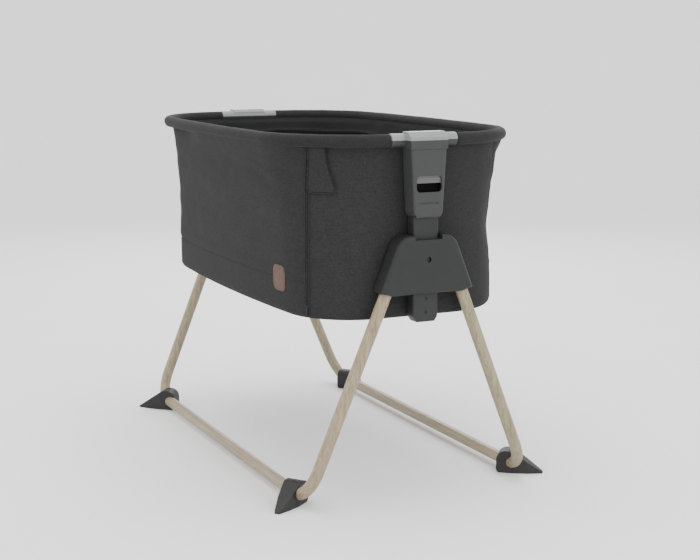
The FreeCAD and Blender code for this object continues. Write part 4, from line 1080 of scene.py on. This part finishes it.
# ------------------------------------------------------------------ mattress
def mattress():
    lo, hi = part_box("mattress")
    zlow, zhigh = lo.z * 1000, hi.z * 1000
    p = (441.5 - 15.5, 234.0 - 15.5, 141.0 - 15.5, WALL_R)
    loop = outline(p, 10, 26, 44)
    rows = []
    prof = [(-6.0, 0.8), (-2.0, 2.0), (0.0, 6.0), (0.6, 20.0), (0.0, 32.0), (-1.8, 38.0), (-6.0, 41.2)]
    for off, dz in prof:
        rows.append([(x + nx * off, y + ny * off, zlow + dz) for x, y, nx, ny in loop])
    cols = len(loop)
    verts = [(x / 1000, y / 1000, z / 1000) for r in rows for x, y, z in r]
    faces = grid_faces(len(rows), cols, True)
    faces.append(tuple(reversed(range(cols))))
    faces.append(tuple((len(rows) - 1) * cols + j for j in range(cols)))
    o = make("mattress_pad", verts, faces, "mattress", body=None)
    fix_normals(o)
    bpy.context.view_layer.objects.active = o
    for x in bpy.data.objects:
        x.select_set(x == o)
    rm = o.modifiers.new("remesh", "REMESH")
    rm.mode = "VOXEL"
    rm.voxel_size = 0.0055
    rm.use_smooth_shade = True
    bpy.ops.object.modifier_apply(modifier="remesh")
    rest = np.empty(len(o.data.vertices) * 3)
    o.data.vertices.foreach_get("co", rest)
    rest = rest.reshape(-1, 3)
    cl = o.modifiers.new("cloth", "CLOTH")
    cl.settings.quality = 4
    cl.settings.mass = 0.3
    cl.settings.use_pressure = True
    cl.settings.uniform_pressure_force = 3.0
    cl.settings.tension_stiffness = cl.settings.compression_stiffness = 18
    cl.settings.bending_stiffness = 2.0
    cl.settings.effector_weights.gravity = 0.0
    pin = o.vertex_groups.new(name="pin")
    under = [int(i) for i in np.where(rest[:, 2] * 1000 < zlow + 4.0)[0]]
    pin.add(under, 1.0, "REPLACE")
    cl.settings.vertex_group_mass = "pin"
    cl.point_cache.frame_start, cl.point_cache.frame_end = 1, 20
    for fr in range(1, 15):
        scene.frame_set(fr)
    ev = o.evaluated_get(bpy.context.evaluated_depsgraph_get())
    now = np.empty(len(ev.data.vertices) * 3)
    ev.data.vertices.foreach_get("co", now)
    now = now.reshape(-1, 3)
    o.modifiers.remove(cl)
    scene.frame_set(1)
    if len(now) == len(rest):
        d = now - rest
        length = np.linalg.norm(d, axis=1, keepdims=True)
        rest = rest + d * np.minimum(1.0, 0.004 / np.maximum(length, 1e-9))
    o.vertex_groups.clear()
    # crown, soft body dents and the sewn edge, after the cloth has settled
    co = rest * 1000
    for i in range(len(co)):
        x, y, z = co[i]
        k = min(max((z - (zlow + 34.0)) / 8.0, 0.0), 1.0)
        if k > 0:
            e = 1.0 - max(abs(y) / 428.0, abs(x) / 222.0)
            co[i, 2] += k * (1.2 * smooth01(e / 0.25) + 0.9 * wob(x, y, 0, 0.009, 8.0) + 0.35 * wob(x, y, 0, 0.05, 2.0) - 0.6)
        co[i, 2] = min(max(co[i, 2], zlow + 0.5), zhigh + 1.2)
    o.data.vertices.foreach_set("co", (co / 1000).astype(np.float32).ravel())
    o.data.polygons.foreach_set("use_smooth", [True] * len(o.data.polygons))
    o.data.update()
    subsurf(o, 1)
    paint(o, "mattress")
    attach(o, "basket")
    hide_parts("mattress")
    # piping sewn round the top edge and the bottom edge
    for tag, off, dz in (("top", -0.6, 38.6), ("bottom", -0.8, 4.6)):
        pts = [(x + nx * off, y + ny * off, nx, ny) for x, y, nx, ny in outline(p, 14, 44, 90)]
        n = 8
        ring = []
        for x, y, nx, ny in pts:
            for k in range(n):
                g = 2 * math.pi * k / n
                ring.append(((x + nx * 1.7 * math.cos(g)) / 1000, (y + ny * 1.7 * math.cos(g)) / 1000,
                             (zlow + dz + 1.7 * math.sin(g)) / 1000))
        f = []
        for i in range(len(pts)):
            for k in range(n):
                i2, k2 = (i + 1) % len(pts), (k + 1) % n
                f.append((i * n + k, i * n + k2, i2 * n + k2, i2 * n + k))
        e = make("mattress_piping_" + tag, ring, f, "mattress")
        fix_normals(e)
    return o


mattress()


# ------------------------------------------------------------------ floor
def stage_sweep():
    """Floor that curves up into a backdrop behind the object."""
    d = Vector((math.sin(math.radians(25.41)), math.cos(math.radians(25.41)), 0))
    side = Vector((d.y, -d.x, 0))
    prof = [(-9.0, 0.0), (-3.0, 0.0), (0.0, 0.0), (2.5, 0.0), (4.0, 0.0)]
    r = 2.6
    prof += [(4.0 + r * math.sin(math.radians(a)), r - r * math.cos(math.radians(a))) for a in range(5, 91, 5)]
    prof += [(4.0 + r, 9.0)]
    verts, faces = [], []
    for u, z in prof:
        for w in (-11.0, 0.0, 11.0):
            q = d * u + side * w
            verts.append((q.x, q.y, z))
    n = 3
    for i in range(len(prof) - 1):
        for j in range(n - 1):
            faces.append((i * n + j, i * n + j + 1, (i + 1) * n + j + 1, (i + 1) * n + j))
    o = make("floor", verts, faces, "shell", body=None)
    o.data.materials.clear()
    fm = Nodes("floor_paint", 0.85)
    fm.color(fm.ramp(fm.noise(3.0, 2.0), [(0.3, (0.87, 0.87, 0.87)), (0.7, (0.885, 0.885, 0.885))]))
    fm.b.inputs["Specular IOR Level"].default_value = 0.1
    o.data.materials.append(fm.mat)


stage_sweep()

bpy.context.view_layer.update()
